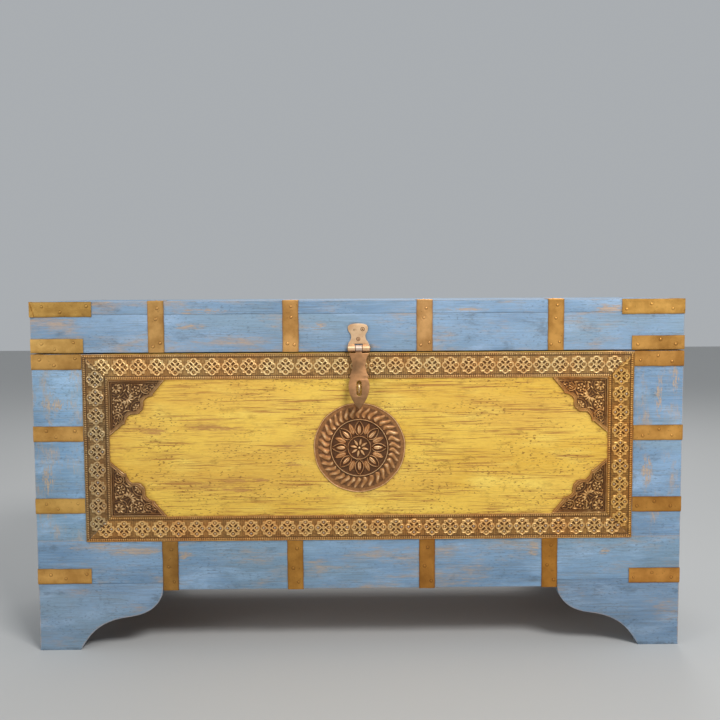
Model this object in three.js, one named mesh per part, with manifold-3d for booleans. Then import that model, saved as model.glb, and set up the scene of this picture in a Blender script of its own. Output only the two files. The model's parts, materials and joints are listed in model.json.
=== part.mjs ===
// A painted wooden chest on bracket feet, with a hinged box lid, brass straps nailed round its corners,
// an embossed brass border round a yellow front board, and a hasp that drops over a staple.
//
// Millimetres. +X is the chest's right as seen from the front, +Y is towards its back, +Z is up.
// The origin is on the floor, under the middle of the whole chest with its hasp and hinges.

import * as THREE from "three";
import { mergeVertices } from "three/addons/utils/BufferGeometryUtils.js";
import Module from "manifold-3d";

// Driving dimensions of the case.
const LENGTH = 1100; // over the boards, without the straps
const DEPTH = 380;
const HEIGHT = 598;
const BOARD = 20; // thickness of the case's boards
const LID_BOARD = 22; // thickness of the board on top of the lid
const FOOT_HEIGHT = 104; // floor to the underside of the bottom rail
const CASE_TOP = 510;
const LID_BOTTOM = 512; // leaves a 2 mm seam under the lid
const RAIL_TOP = 191; // top edge of the front's bottom rail, just behind the lower edge of the border
const END_WIDTH = 120; // of the blue boards at the ends of the front
const NOTCH = 12; // how far the front brackets rise into the rail
const TONGUE = 8; // tongues and grooves, both their width and their depth
const PLAY = 0.25; // clearance of a tongue in its groove, and of trim against its neighbour
const FLOOR_BOARD = 12; // thickness of the chest's floor
const FLOOR_UNDERSIDE = 118;
const HOUSING = 6; // depth of the groove that holds the floor

// Bracket feet: an ogee cut under a board.
const FOOT_TOE = 69; // width of the foot where it stands
const FOOT_RUN = { left: 212, right: 210.5 }; // corner to the end of the long brackets
const SIDE_FOOT_TOE = 58;
const SIDE_FOOT_RUN = 160;
const OGEE_WAIST = 57.5; // height at which the ogee changes from hollow to round
const OGEE_MIDDLE = 0.6; // where that is along the cut, as a share of it

// Brass straps and corner strips, cut from one sheet.
const SHEET = 1;
const STRAP_WIDTH = 27;
const LID_STRAP_CENTRES = [-340, -114.5, 111, 332.5];
const SKIRT_STRAP_CENTRES = [-324, -110.5, 115, 325.5];
const LID_STRAP_TURN = 32; // how far a lid strap turns over onto the top
const STRIP_SIDE_LENGTH = 84; // how far a corner strip runs along the chest's side
const STRIPS = {
  // width, then the lower edge and the length along the front of the left one and of the right one
  lid_top: { width: 25.5, left: [HEIGHT - 25.5, 102.5], right: [HEIGHT - 25.5, 106] },
  lid_bottom: { width: 24, left: [LID_BOTTOM, 87.5], right: [LID_BOTTOM, 88.5] },
  case_top: { width: 26, left: [CASE_TOP - 26, 83.5], right: [CASE_TOP - 26, 83.5] },
  case_upper: { width: 26, left: [362, 83.5], right: [357.5, 83.5] },
  case_lower: { width: 26, left: [238.5, 83.5], right: [234, 83.5] },
  case_foot: { width: 26, left: [116.5, 91], right: [109.5, 87] },
};

// Embossed trim on the front.
const BORDER_WIDTH = 43.5;
const BORDER_RELIEF = 2.5;
const BORDER_RIGHT = 466; // half of the border's outer length
const BORDER_BOTTOM = 189;
const BORDER_TOP = CASE_TOP - 0.5;
const SPANDREL_LEG = 94;
const SPANDREL_SCALLOPS = [
  // half of the scalloped edge, from a leg's end to the diagonal: where each curve bends to, and its end
  [[87, 9], [75, 23]],
  [[75, 25], [74.5, 26.5]],
  [[62, 28], [58, 37]],
  [[59, 52], [53, 53]],
];
const SPANDREL_RELIEF = 2.5;
const MEDALLION_RADIUS = 77;
const MEDALLION_CENTRE = 348.5;
const MEDALLION_RELIEF = 6;

// The hasp, which hangs from the lid and drops over a staple in the front board.
const PIN_RADIUS = 2;
const PIN_BORE = 2.4;
const HASP_AXIS_HEIGHT = 517.5;
const HASP_AXIS_REACH = 5.8; // in front of the lid's face
const HASP_KNUCKLE = 5.4; // outer radius
const HASP_WIDTH = 37;
const HASP_TAB = 12; // width of the middle knuckle, which is the strap's
const HASP_PLATE_TOP = 559;
const HASP_PLATE_SHEET = 2;
const HASP_PLATE_SLANT = -0.04; // sideways per mm up, as it was cut by eye
const HASP_STRAP_SHEET = 2.5;
const HASP_STRAP_START = 8; // below the axis
const HASP_STRAP_TIP = 102;
const SLOT_WIDTH = 8.5;
const SLOT_TOP = 54.5; // below the axis
const SLOT_BOTTOM = 80.5;
const HASP_TILT = THREE.MathUtils.degToRad(12.5); // the strap stands off the staple, ready to lift
const STAPLE_WIRE = 5;
const STAPLE_HEIGHT = 450;
const STAPLE_SPAN = 15; // between the centres of its legs
const STAPLE_NOSE = 16; // how far it stands out of the board
const STAPLE_HOLE = 6;

// Two butt hinges on the back.
const HINGE_OFFSET = 360; // from the middle of the back
const HINGE_LENGTH = 70;
const HINGE_LEAF = 30;
const HINGE_SHEET = 2;
const HINGE_KNUCKLE = 4.5;
const HINGE_KNUCKLES = 5;
const HINGE_GAP = 0.5;
const HINGE_AXIS_REACH = 4.75; // behind the case's back
const HINGE_AXIS_HEIGHT = (CASE_TOP + LID_BOTTOM) / 2;
const PIN_HEAD = 3.5;
const PIN_HEAD_THICKNESS = 1.25;

// Moves the middle of the case back, so that the origin is under the middle of everything.
const CASE_SHIFT = 9.3;

const ROUND = 24; // sides of a round section
const CURVE = 10; // steps of each curved stretch of an outline

const HALF_LENGTH = LENGTH / 2;
const FRONT = -DEPTH / 2;
const BACK = DEPTH / 2;
const SIDES = { left: -1, right: 1 };
const ENDS = { front: -1, back: 1 };

const wasm = await Module();
wasm.setup();

const finish = (color, roughness, metalness) =>
  new THREE.MeshStandardMaterial({ color, roughness, metalness });
const bluePaint = () => finish(0x789fca, 0.7, 0);
const yellowPaint = () => finish(0xe0b94e, 0.65, 0);
const bareWood = () => finish(0x9a7148, 0.8, 0);
const strapBrass = () => finish(0xb98a3c, 0.45, 0.9);
const embossedBrass = () => finish(0x9c7a48, 0.5, 0.9);
const embossedCopper = () => finish(0x83593c, 0.5, 0.9);
const haspBrass = () => finish(0xa97a55, 0.45, 0.9);
const pinSteel = () => finish(0x8c8478, 0.4, 1);

// ---- solids ----

// The axes that an outline's own x, y and thickness run along.
const SEEN_FROM_FRONT = new THREE.Matrix4().makeBasis(
  new THREE.Vector3(1, 0, 0),
  new THREE.Vector3(0, 0, 1),
  new THREE.Vector3(0, -1, 0),
);
const SEEN_FROM_RIGHT = new THREE.Matrix4().makeBasis(
  new THREE.Vector3(0, 1, 0),
  new THREE.Vector3(0, 0, 1),
  new THREE.Vector3(1, 0, 0),
);
const SEEN_FROM_TOP = new THREE.Matrix4();

// An outline of [x, y] points or a THREE.Shape, given thickness along the third axis of the view.
function plate(outline, thickness, view) {
  const corners = Array.isArray(outline) && outline.map(([x, y]) => new THREE.Vector2(x, y));
  const shape = corners ? new THREE.Shape(corners) : outline;
  const options = { depth: thickness, bevelEnabled: false, curveSegments: CURVE };
  return new THREE.ExtrudeGeometry(shape, options).applyMatrix4(view);
}

// A box by its lowest and highest corners.
function block([x0, y0, z0], [x1, y1, z1]) {
  const box = new THREE.BoxGeometry(x1 - x0, y1 - y0, z1 - z0);
  return box.translate((x0 + x1) / 2, (y0 + y1) / 2, (z0 + z1) / 2);
}

// A cylinder along X, centred on the axis.
function roundBar(radius, x0, x1) {
  return new THREE.CylinderGeometry(radius, radius, x1 - x0, ROUND)
    .rotateZ(Math.PI / 2)
    .translate((x0 + x1) / 2, 0, 0);
}

function solidOf(geometry) {
  const bare = geometry.clone();
  bare.deleteAttribute("normal");
  bare.deleteAttribute("uv");
  const merged = mergeVertices(bare);
  const vertProperties = merged.attributes.position.array;
  const triVerts = new Uint32Array(merged.index.array);
  return new wasm.Manifold(new wasm.Mesh({ numProp: 3, vertProperties, triVerts }));
}

// Joins some geometries and cuts others out of the result.
function carve(joined, cut = []) {
  let solid = solidOf(joined[0]);
  for (const geometry of joined.slice(1)) solid = solid.add(solidOf(geometry));
  for (const geometry of cut) solid = solid.subtract(solidOf(geometry));
  const { vertProperties, triVerts } = solid.getMesh();
  const geometry = new THREE.BufferGeometry();
  geometry.setAttribute("position", new THREE.BufferAttribute(vertProperties, 3));
  geometry.setIndex(new THREE.BufferAttribute(triVerts, 1));
  geometry.computeVertexNormals();
  return geometry;
}

function add(group, name, geometry, material, x = 0, y = 0, z = 0) {
  const mesh = new THREE.Mesh(geometry, material);
  mesh.name = name;
  mesh.position.set(x, y, z);
  group.add(mesh);
  return mesh;
}

// ---- the case ----

// The floor with its edges let into the boards around it, grown by its clearance.
function floorSpace(clearance) {
  const x = HALF_LENGTH - BOARD + HOUSING + clearance;
  const y = BACK - BOARD + HOUSING + clearance;
  return block([-x, -y, FLOOR_UNDERSIDE - clearance], [x, y, FLOOR_UNDERSIDE + FLOOR_BOARD + clearance]);
}

// Half of the space between the blue ends of the front, where the yellow board lies.
const BETWEEN_ENDS = HALF_LENGTH - END_WIDTH;
const TONGUE_FRONT = FRONT + (BOARD - TONGUE) / 2;

// Where the rail's groove stops, so that it doesn't show on the chest's sides.
const GROOVE_STOP = HALF_LENGTH - BOARD;

// A tongue's section, in the middle of the front's thickness, between the given corners of the front.
function tongue([x0, z0], [x1, z1], play = PLAY) {
  return block([x0, TONGUE_FRONT + play, z0], [x1, TONGUE_FRONT + TONGUE - play, z1]);
}

// The rail across the whole front: grooved along its top, and notched over the brackets.
function bottomRail() {
  const board = block([-HALF_LENGTH, FRONT, FOOT_HEIGHT], [HALF_LENGTH, FRONT + BOARD, RAIL_TOP]);
  const groove = tongue([-GROOVE_STOP, RAIL_TOP - TONGUE], [GROOVE_STOP, RAIL_TOP + BOARD], 0);
  const notchTop = FOOT_HEIGHT + NOTCH;
  const notches = [
    block([-LENGTH, -DEPTH, 0], [FOOT_RUN.left - HALF_LENGTH, DEPTH, notchTop]),
    block([HALF_LENGTH - FOOT_RUN.right, -DEPTH, 0], [LENGTH, DEPTH, notchTop]),
  ];
  return carve([board], [groove, ...notches, floorSpace(PLAY)]);
}

// Two distances from the middle, on the left (side -1) or the right (side 1), in order of x.
function span(side, near, far) {
  return side > 0 ? [near, far] : [-far, -near];
}

// A blue end of the front, tongued into the rail, and grooved along its inner edge for the yellow board.
function frontEnd(side) {
  const [x0, x1] = span(side, BETWEEN_ENDS, HALF_LENGTH);
  const [tongue0, tongue1] = span(side, BETWEEN_ENDS, GROOVE_STOP - PLAY);
  const [groove0, groove1] = span(side, BETWEEN_ENDS - BOARD, BETWEEN_ENDS + TONGUE);
  const board = block([x0, FRONT, RAIL_TOP], [x1, FRONT + BOARD, CASE_TOP]);
  const lowerTongue = tongue([tongue0, RAIL_TOP - TONGUE + PLAY], [tongue1, CASE_TOP]);
  return carve([board, lowerTongue], [tongue([groove0, 0], [groove1, HEIGHT], 0)]);
}

// The yellow board, with a tongue on three edges and two holes for the staple's legs.
function frontBoard() {
  const reach = BETWEEN_ENDS + TONGUE - PLAY;
  const board = block([-BETWEEN_ENDS, FRONT, RAIL_TOP], [BETWEEN_ENDS, FRONT + BOARD, CASE_TOP]);
  const tongues = tongue([-reach, RAIL_TOP - TONGUE + PLAY], [reach, CASE_TOP]);
  const holes = [-1, 1].map((end) =>
    new THREE.CylinderGeometry(STAPLE_HOLE / 2, STAPLE_HOLE / 2, 3 * BOARD, ROUND).translate(
      0,
      FRONT,
      STAPLE_HEIGHT + (end * STAPLE_SPAN) / 2,
    ),
  );
  return carve([board, tongues], holes);
}

function sidePanel(side) {
  const [x0, x1] = span(side, HALF_LENGTH - BOARD, HALF_LENGTH);
  const board = block([x0, FRONT + BOARD, FOOT_HEIGHT], [x1, BACK - BOARD, CASE_TOP]);
  return carve([board], [floorSpace(PLAY)]);
}

function backPanel() {
  const board = block([-HALF_LENGTH, BACK - BOARD, FOOT_HEIGHT], [HALF_LENGTH, BACK, CASE_TOP]);
  return carve([board], [floorSpace(PLAY)]);
}

function buildCase() {
  const group = new THREE.Group();
  add(group, "front_bottom_rail", bottomRail(), bluePaint());
  add(group, "front_board", frontBoard(), yellowPaint());
  for (const [name, side] of Object.entries(SIDES)) {
    add(group, `front_end_${name}`, frontEnd(side), bluePaint());
    add(group, `side_panel_${name}`, sidePanel(side), bluePaint());
  }
  add(group, "back_panel", backPanel(), bluePaint());
  add(group, "floor_board", floorSpace(0), bareWood());
  return group;
}

// ---- feet ----

// The outline of a bracket: its corner is at x = 0, and the ogee runs from the toe up to the far end.
function bracket(toe, run, top, direction, skip = 0) {
  const x = (distance) => direction * distance;
  const cut = run - toe;
  const waist = toe + OGEE_MIDDLE * cut;
  const shape = new THREE.Shape();
  shape.moveTo(x(skip), 0);
  shape.lineTo(x(toe), 0);
  shape.bezierCurveTo(x(toe + 0.13 * cut), 34, x(toe + 0.28 * cut), 52, x(waist), OGEE_WAIST);
  shape.bezierCurveTo(x(toe + 0.85 * cut), 62, x(toe + 0.98 * cut), 80, x(run), FOOT_HEIGHT);
  if (top > FOOT_HEIGHT) shape.lineTo(x(run), top);
  shape.lineTo(x(skip), top);
  return shape;
}

// Two brackets meet at each corner of the case: a long one on its front or back, and one on its side.
function buildFeet() {
  const group = new THREE.Group();
  for (const [sideName, side] of Object.entries(SIDES)) {
    for (const [endName, end] of Object.entries(ENDS)) {
      const top = end < 0 ? FOOT_HEIGHT + NOTCH : FOOT_HEIGHT;
      const longOutline = bracket(FOOT_TOE, FOOT_RUN[sideName], top, -side);
      const long = plate(longOutline, BOARD, SEEN_FROM_FRONT);
      const longFace = end < 0 ? FRONT + BOARD : BACK;
      add(group, `foot_${endName}_${sideName}`, long, bluePaint(), side * HALF_LENGTH, longFace);
      const shortOutline = bracket(SIDE_FOOT_TOE, SIDE_FOOT_RUN, FOOT_HEIGHT, -end, BOARD);
      const short = plate(shortOutline, BOARD, SEEN_FROM_RIGHT);
      const shortFace = side < 0 ? -HALF_LENGTH : HALF_LENGTH - BOARD;
      add(group, `foot_side_${endName}_${sideName}`, short, bluePaint(), shortFace, end * BACK);
    }
  }
  return group;
}

// ---- the lid ----

function buildLid() {
  const group = new THREE.Group();
  const railTop = HEIGHT - LID_BOARD;
  const inner = BACK - BOARD;
  const topBoard = block([-HALF_LENGTH, FRONT, railTop], [HALF_LENGTH, BACK, HEIGHT]);
  add(group, "lid_top_board", topBoard, bluePaint());
  const rail = () => block([-HALF_LENGTH, -BOARD / 2, LID_BOTTOM], [HALF_LENGTH, BOARD / 2, railTop]);
  add(group, "lid_front_rail", rail(), bluePaint(), 0, FRONT + BOARD / 2);
  add(group, "lid_back_rail", rail(), bluePaint(), 0, BACK - BOARD / 2);
  for (const [name, side] of Object.entries(SIDES)) {
    const sideRail = block([-BOARD / 2, -inner, LID_BOTTOM], [BOARD / 2, inner, railTop]);
    add(group, `lid_side_rail_${name}`, sideRail, bluePaint(), side * (HALF_LENGTH - BOARD / 2));
  }
  return group;
}

// ---- brass straps and corner strips ----

// Runs up the lid's front and turns over onto its top.
function lidStrap() {
  const outline = [
    [FRONT - SHEET, LID_BOTTOM],
    [FRONT, LID_BOTTOM],
    [FRONT, HEIGHT],
    [FRONT + LID_STRAP_TURN, HEIGHT],
    [FRONT + LID_STRAP_TURN, HEIGHT + SHEET],
    [FRONT - SHEET, HEIGHT + SHEET],
  ];
  return plate(outline, STRAP_WIDTH, SEEN_FROM_RIGHT);
}

// Runs down the bottom rail from the border and turns under it.
function skirtStrap() {
  const outline = [
    [FRONT - SHEET, FOOT_HEIGHT - SHEET],
    [FRONT + BOARD, FOOT_HEIGHT - SHEET],
    [FRONT + BOARD, FOOT_HEIGHT],
    [FRONT, FOOT_HEIGHT],
    [FRONT, BORDER_BOTTOM - PLAY],
    [FRONT - SHEET, BORDER_BOTTOM - PLAY],
  ];
  return plate(outline, STRAP_WIDTH, SEEN_FROM_RIGHT);
}

// Bent round a front corner, with the corner of the wood at the origin.
function cornerStrip(side, width, alongFront) {
  const x = (distance) => -side * distance;
  const outline = [
    [x(-SHEET), -SHEET],
    [x(alongFront), -SHEET],
    [x(alongFront), 0],
    [0, 0],
    [0, STRIP_SIDE_LENGTH],
    [x(-SHEET), STRIP_SIDE_LENGTH],
  ];
  return plate(outline, width, SEEN_FROM_TOP);
}

function buildBrass() {
  const group = new THREE.Group();
  const half = STRAP_WIDTH / 2;
  for (const [i, x] of LID_STRAP_CENTRES.entries()) {
    add(group, `lid_strap_${i + 1}`, lidStrap(), strapBrass(), x - half);
  }
  for (const [i, x] of SKIRT_STRAP_CENTRES.entries()) {
    add(group, `skirt_strap_${i + 1}`, skirtStrap(), strapBrass(), x - half);
  }
  for (const [sideName, side] of Object.entries(SIDES)) {
    for (const [place, strip] of Object.entries(STRIPS)) {
      const [low, alongFront] = strip[sideName];
      const bent = cornerStrip(side, strip.width, alongFront);
      add(group, `strip_${sideName}_${place}`, bent, strapBrass(), side * HALF_LENGTH, FRONT, low);
    }
  }
  return group;
}

// ---- embossed trim ----

// One side of the border, mitred at both ends, lying along X with its outer edge at z = 0.
function borderSide(length) {
  const outer = length / 2 - PLAY;
  const inner = outer - BORDER_WIDTH;
  const outline = [
    [-outer, 0],
    [-inner, -BORDER_WIDTH],
    [inner, -BORDER_WIDTH],
    [outer, 0],
  ];
  return plate(outline, BORDER_RELIEF, SEEN_FROM_FRONT);
}

// Fills a corner of the border: two straight legs, joined by a scalloped edge that is alike both ways.
function spandrel(side, end) {
  const p = (across, along) => [-side * across, -end * along];
  const shape = new THREE.Shape();
  const joints = [[SPANDREL_LEG, 0], ...SPANDREL_SCALLOPS.map(([, joint]) => joint)];
  shape.moveTo(...p(0, 0));
  shape.lineTo(...p(SPANDREL_LEG, 0));
  for (const [bend, joint] of SPANDREL_SCALLOPS) shape.quadraticCurveTo(...p(...bend), ...p(...joint));
  for (let i = SPANDREL_SCALLOPS.length - 1; i >= 0; i -= 1) {
    const [bendAcross, bendAlong] = SPANDREL_SCALLOPS[i][0];
    const [jointAcross, jointAlong] = joints[i];
    shape.quadraticCurveTo(...p(bendAlong, bendAcross), ...p(jointAlong, jointAcross));
  }
  return plate(shape, SPANDREL_RELIEF, SEEN_FROM_FRONT);
}

// A disc that rises from its rim to a ring, and again to a flat middle.
function medallion() {
  const profile = [
    [0, 0],
    [MEDALLION_RADIUS, 0],
    [MEDALLION_RADIUS, 0.3 * MEDALLION_RELIEF],
    [0.9 * MEDALLION_RADIUS, 0.3 * MEDALLION_RELIEF],
    [0.75 * MEDALLION_RADIUS, 0.9 * MEDALLION_RELIEF],
    [0.6 * MEDALLION_RADIUS, 0.7 * MEDALLION_RELIEF],
    [0.24 * MEDALLION_RADIUS, MEDALLION_RELIEF],
    [0, MEDALLION_RELIEF],
  ].map(([radius, height]) => new THREE.Vector2(radius, height));
  return new THREE.LatheGeometry(profile, 2 * ROUND);
}

function buildTrim() {
  const group = new THREE.Group();
  const height = BORDER_TOP - BORDER_BOTTOM;
  const middle = (BORDER_TOP + BORDER_BOTTOM) / 2;
  for (const [name, length, turn, x, z] of [
    ["top", 2 * BORDER_RIGHT, 0, 0, BORDER_TOP],
    ["bottom", 2 * BORDER_RIGHT, Math.PI, 0, BORDER_BOTTOM],
    ["left", height, -Math.PI / 2, -BORDER_RIGHT, middle],
    ["right", height, Math.PI / 2, BORDER_RIGHT, middle],
  ]) {
    const borderPart = add(group, `border_${name}`, borderSide(length), embossedBrass(), x, FRONT, z);
    borderPart.rotation.y = turn;
  }
  const inset = BORDER_WIDTH + PLAY;
  for (const [sideName, side] of Object.entries(SIDES)) {
    for (const [endName, end, z] of [
      ["top", 1, BORDER_TOP - inset],
      ["bottom", -1, BORDER_BOTTOM + inset],
    ]) {
      const x = side * (BORDER_RIGHT - inset);
      add(group, `spandrel_${endName}_${sideName}`, spandrel(side, end), embossedCopper(), x, FRONT, z);
    }
  }
  const disc = add(group, "medallion", medallion(), embossedCopper(), 0, FRONT - PLAY, MEDALLION_CENTRE);
  disc.rotation.x = Math.PI;
  return group;
}

// ---- the hasp and its staple ----

// The whole outline, from a path down its right half that starts and ends on the middle line.
function mirrored(path) {
  const right = path.getPoints(CURVE);
  const left = right.slice(1, -1).map((point) => new THREE.Vector2(-point.x, point.y));
  return new THREE.Shape([...right, ...left.reverse()]);
}

// The plate on the lid: it swells, narrows and swells again above two knuckles round the pin.
function haspPlate() {
  const top = HASP_PLATE_TOP - HASP_AXIS_HEIGHT;
  const half = HASP_WIDTH / 2;
  const path = new THREE.Path();
  path.moveTo(0, top);
  path.quadraticCurveTo(0.86 * half, top, 0.91 * half, top - 6);
  path.quadraticCurveTo(0.95 * half, top - 12, 0.7 * half, top - 17);
  path.quadraticCurveTo(0.58 * half, top - 23, 0.76 * half, top - 29);
  path.quadraticCurveTo(0.98 * half, top - 33, 0.98 * half, HASP_PLATE_SHEET);
  path.lineTo(0, HASP_PLATE_SHEET);
  const sheet = plate(mirrored(path), HASP_PLATE_SHEET, SEEN_FROM_FRONT).translate(0, HASP_AXIS_REACH, 0);
  sheet.applyMatrix4(new THREE.Matrix4().makeShear(0, 0, 0, 0, HASP_PLATE_SLANT, 0));
  const clear = 2 * HASP_KNUCKLE;
  const notch = block([-HASP_TAB / 2, -clear, -clear], [HASP_TAB / 2, clear, HASP_KNUCKLE + 1.5]);
  const bore = roundBar(PIN_BORE, -2 * half, 2 * half);
  return carve([sheet, roundBar(HASP_KNUCKLE, -half, half)], [notch, bore]);
}

// The strap: a knuckle, a waist with a cusp under it, and a pointed leaf with the slot for the staple.
function haspStrap() {
  const half = HASP_WIDTH / 2;
  const path = new THREE.Path();
  path.moveTo(0, -HASP_STRAP_START);
  path.lineTo(0.94 * half, -HASP_STRAP_START);
  path.quadraticCurveTo(0.6 * half, -19, 0.6 * half, -29);
  path.quadraticCurveTo(0.6 * half, -39, 0.87 * half, -47);
  path.lineTo(0.76 * half, -50);
  path.quadraticCurveTo(0.98 * half, -57, 0.95 * half, -68);
  path.quadraticCurveTo(0.78 * half, -88, 0, -HASP_STRAP_TIP);
  const outline = mirrored(path);
  const corner = SLOT_WIDTH / 2;
  const slot = new THREE.Path();
  slot.absarc(0, -SLOT_TOP - corner, corner, 0, Math.PI);
  slot.absarc(0, -SLOT_BOTTOM + corner, corner, Math.PI, 2 * Math.PI);
  outline.holes.push(slot);
  const sheet = plate(outline, HASP_STRAP_SHEET, SEEN_FROM_FRONT).translate(0, HASP_STRAP_SHEET, 0);
  const tabHalf = HASP_TAB / 2 - 2 * PLAY;
  const tab = block([-tabHalf, 0, -HASP_STRAP_START - 2], [tabHalf, HASP_STRAP_SHEET, 0]);
  return carve([sheet, tab, roundBar(HASP_KNUCKLE, -tabHalf, tabHalf)], [roundBar(PIN_BORE, -half, half)]);
}

// A U of round wire, standing on edge, whose legs go through the front board.
function staple() {
  const half = STAPLE_SPAN / 2;
  const nose = FRONT - STAPLE_NOSE + STAPLE_WIRE / 2;
  const bendStart = nose + half;
  const bendReach = nose - half / 3; // a curve aimed this far ahead turns back at the nose
  const legEnd = FRONT + BOARD - 1;
  const point = (y, z) => new THREE.Vector3(0, y, z);
  const path = new THREE.CurvePath();
  path.add(new THREE.LineCurve3(point(legEnd, half), point(bendStart, half)));
  path.add(
    new THREE.CubicBezierCurve3(
      point(bendStart, half),
      point(bendReach, half),
      point(bendReach, -half),
      point(bendStart, -half),
    ),
  );
  path.add(new THREE.LineCurve3(point(bendStart, -half), point(legEnd, -half)));
  const wire = new THREE.Shape().absarc(0, 0, STAPLE_WIRE / 2, 0, 2 * Math.PI);
  return new THREE.ExtrudeGeometry(wire, { extrudePath: path, steps: 40, curveSegments: 6 });
}

// A pin along X with a head at each end.
function pin(length) {
  const profile = [
    [0, -length / 2 - PIN_HEAD_THICKNESS],
    [PIN_HEAD, -length / 2 - PIN_HEAD_THICKNESS],
    [PIN_HEAD, -length / 2],
    [PIN_RADIUS, -length / 2],
    [PIN_RADIUS, length / 2],
    [PIN_HEAD, length / 2],
    [PIN_HEAD, length / 2 + PIN_HEAD_THICKNESS],
    [0, length / 2 + PIN_HEAD_THICKNESS],
  ].map(([radius, x]) => new THREE.Vector2(radius, x));
  return new THREE.LatheGeometry(profile, ROUND).rotateZ(-Math.PI / 2);
}

function buildHasp() {
  const group = new THREE.Group();
  const hinge = new THREE.Group();
  hinge.position.set(0, FRONT - HASP_AXIS_REACH, HASP_AXIS_HEIGHT);
  add(hinge, "hasp_plate", haspPlate(), haspBrass());
  add(hinge, "hasp_pin", pin(HASP_WIDTH + 2 * PLAY), pinSteel());
  const leaning = new THREE.Group();
  leaning.rotation.x = -HASP_TILT;
  add(leaning, "hasp_strap", haspStrap(), haspBrass());
  hinge.add(leaning);
  group.add(hinge);
  add(group, "staple", staple(), haspBrass(), 0, 0, STAPLE_HEIGHT);
  return group;
}

// ---- the hinges ----

// A leaf above (direction 1) or below (-1) the pin, with every other knuckle round it.
function hingeLeaf(direction, first) {
  const pitch = HINGE_LENGTH / HINGE_KNUCKLES;
  const half = HINGE_LENGTH / 2;
  const face = -HINGE_AXIS_REACH;
  const near = direction > 0 ? 1.5 : -HINGE_LEAF;
  const far = direction > 0 ? HINGE_LEAF : -1.5;
  const parts = [block([-half, face, near], [half, face + HINGE_SHEET, far])];
  for (let i = first; i < HINGE_KNUCKLES; i += 2) {
    const x0 = -half + i * pitch + HINGE_GAP / 2;
    const x1 = x0 + pitch - HINGE_GAP;
    const web = direction > 0 ? [0, HINGE_KNUCKLE] : [-HINGE_KNUCKLE, 0];
    parts.push(roundBar(HINGE_KNUCKLE, x0, x1));
    parts.push(block([x0, face, web[0]], [x1, face + HINGE_SHEET, web[1]]));
  }
  // Room for the other leaf's knuckles to turn in.
  const cuts = [roundBar(PIN_BORE, -half - 1, half + 1)];
  for (let i = 1 - first; i < HINGE_KNUCKLES; i += 2) {
    const x0 = -half + i * pitch;
    cuts.push(roundBar(HINGE_KNUCKLE + HINGE_GAP, x0 - HINGE_GAP / 2, x0 + pitch + HINGE_GAP / 2));
  }
  return carve(parts, cuts);
}

function buildHinges() {
  const group = new THREE.Group();
  for (const [name, side] of Object.entries(SIDES)) {
    const hinge = new THREE.Group();
    hinge.position.set(side * HINGE_OFFSET, BACK + HINGE_AXIS_REACH, HINGE_AXIS_HEIGHT);
    add(hinge, `hinge_${name}_case_leaf`, hingeLeaf(-1, 0), strapBrass());
    add(hinge, `hinge_${name}_lid_leaf`, hingeLeaf(1, 1), strapBrass());
    add(hinge, `hinge_${name}_pin`, pin(HINGE_LENGTH + 2 * PLAY), pinSteel());
    group.add(hinge);
  }
  return group;
}

const chest = new THREE.Group();
const standing = new THREE.Group();
standing.position.y = CASE_SHIFT;
standing.add(buildCase(), buildFeet(), buildLid(), buildBrass(), buildTrim(), buildHasp(), buildHinges());
chest.add(standing);

export default chest;
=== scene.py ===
"""A painted wooden chest with embossed brass trim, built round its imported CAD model.

Lengths are in metres in the model's frame: +X along the chest, +Y from front to back, +Z up.
Relief is drawn in millimetres by functions of a place on the sheet, and pressed into fine grids.
"""

import json
import random
from math import copysign, cos, exp, hypot, pi, radians, sin, sqrt, tau

import bmesh
import bpy
import numpy as np
from mathutils import Matrix, Vector, noise


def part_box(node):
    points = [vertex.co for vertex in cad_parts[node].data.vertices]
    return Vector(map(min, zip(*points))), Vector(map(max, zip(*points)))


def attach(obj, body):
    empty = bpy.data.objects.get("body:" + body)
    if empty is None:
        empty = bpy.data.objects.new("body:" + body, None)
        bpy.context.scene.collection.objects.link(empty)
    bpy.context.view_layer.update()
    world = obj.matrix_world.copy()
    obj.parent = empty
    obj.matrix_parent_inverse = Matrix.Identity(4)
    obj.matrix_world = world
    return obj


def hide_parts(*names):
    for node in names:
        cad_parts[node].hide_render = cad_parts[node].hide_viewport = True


MM = 0.001
X, Y, Z = Vector((1, 0, 0)), Vector((0, 1, 0)), Vector((0, 0, 1))
SIDES = ("left", "right")

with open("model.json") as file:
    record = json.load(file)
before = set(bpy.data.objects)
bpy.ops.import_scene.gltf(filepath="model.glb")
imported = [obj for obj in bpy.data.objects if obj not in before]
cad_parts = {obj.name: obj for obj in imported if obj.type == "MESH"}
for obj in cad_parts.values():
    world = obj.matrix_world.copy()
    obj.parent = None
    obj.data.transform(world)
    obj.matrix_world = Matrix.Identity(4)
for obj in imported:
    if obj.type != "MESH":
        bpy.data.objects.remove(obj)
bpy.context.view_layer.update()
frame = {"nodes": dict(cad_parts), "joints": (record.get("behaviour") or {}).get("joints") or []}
JOINTS = {joint["name"]: joint for joint in frame["joints"]}

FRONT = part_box("front_board")[0].y
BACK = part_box("back_panel")[1].y
LEFT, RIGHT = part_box("back_panel")[0].x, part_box("back_panel")[1].x
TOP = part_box("lid_top_board")[1].z
LID_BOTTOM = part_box("lid_front_rail")[0].z


def add_object(name, data):
    """A new object in the scene."""
    made = bpy.data.objects.new(name, data)
    bpy.context.scene.collection.objects.link(made)
    return made


# ---- camera, light and floor ----


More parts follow.
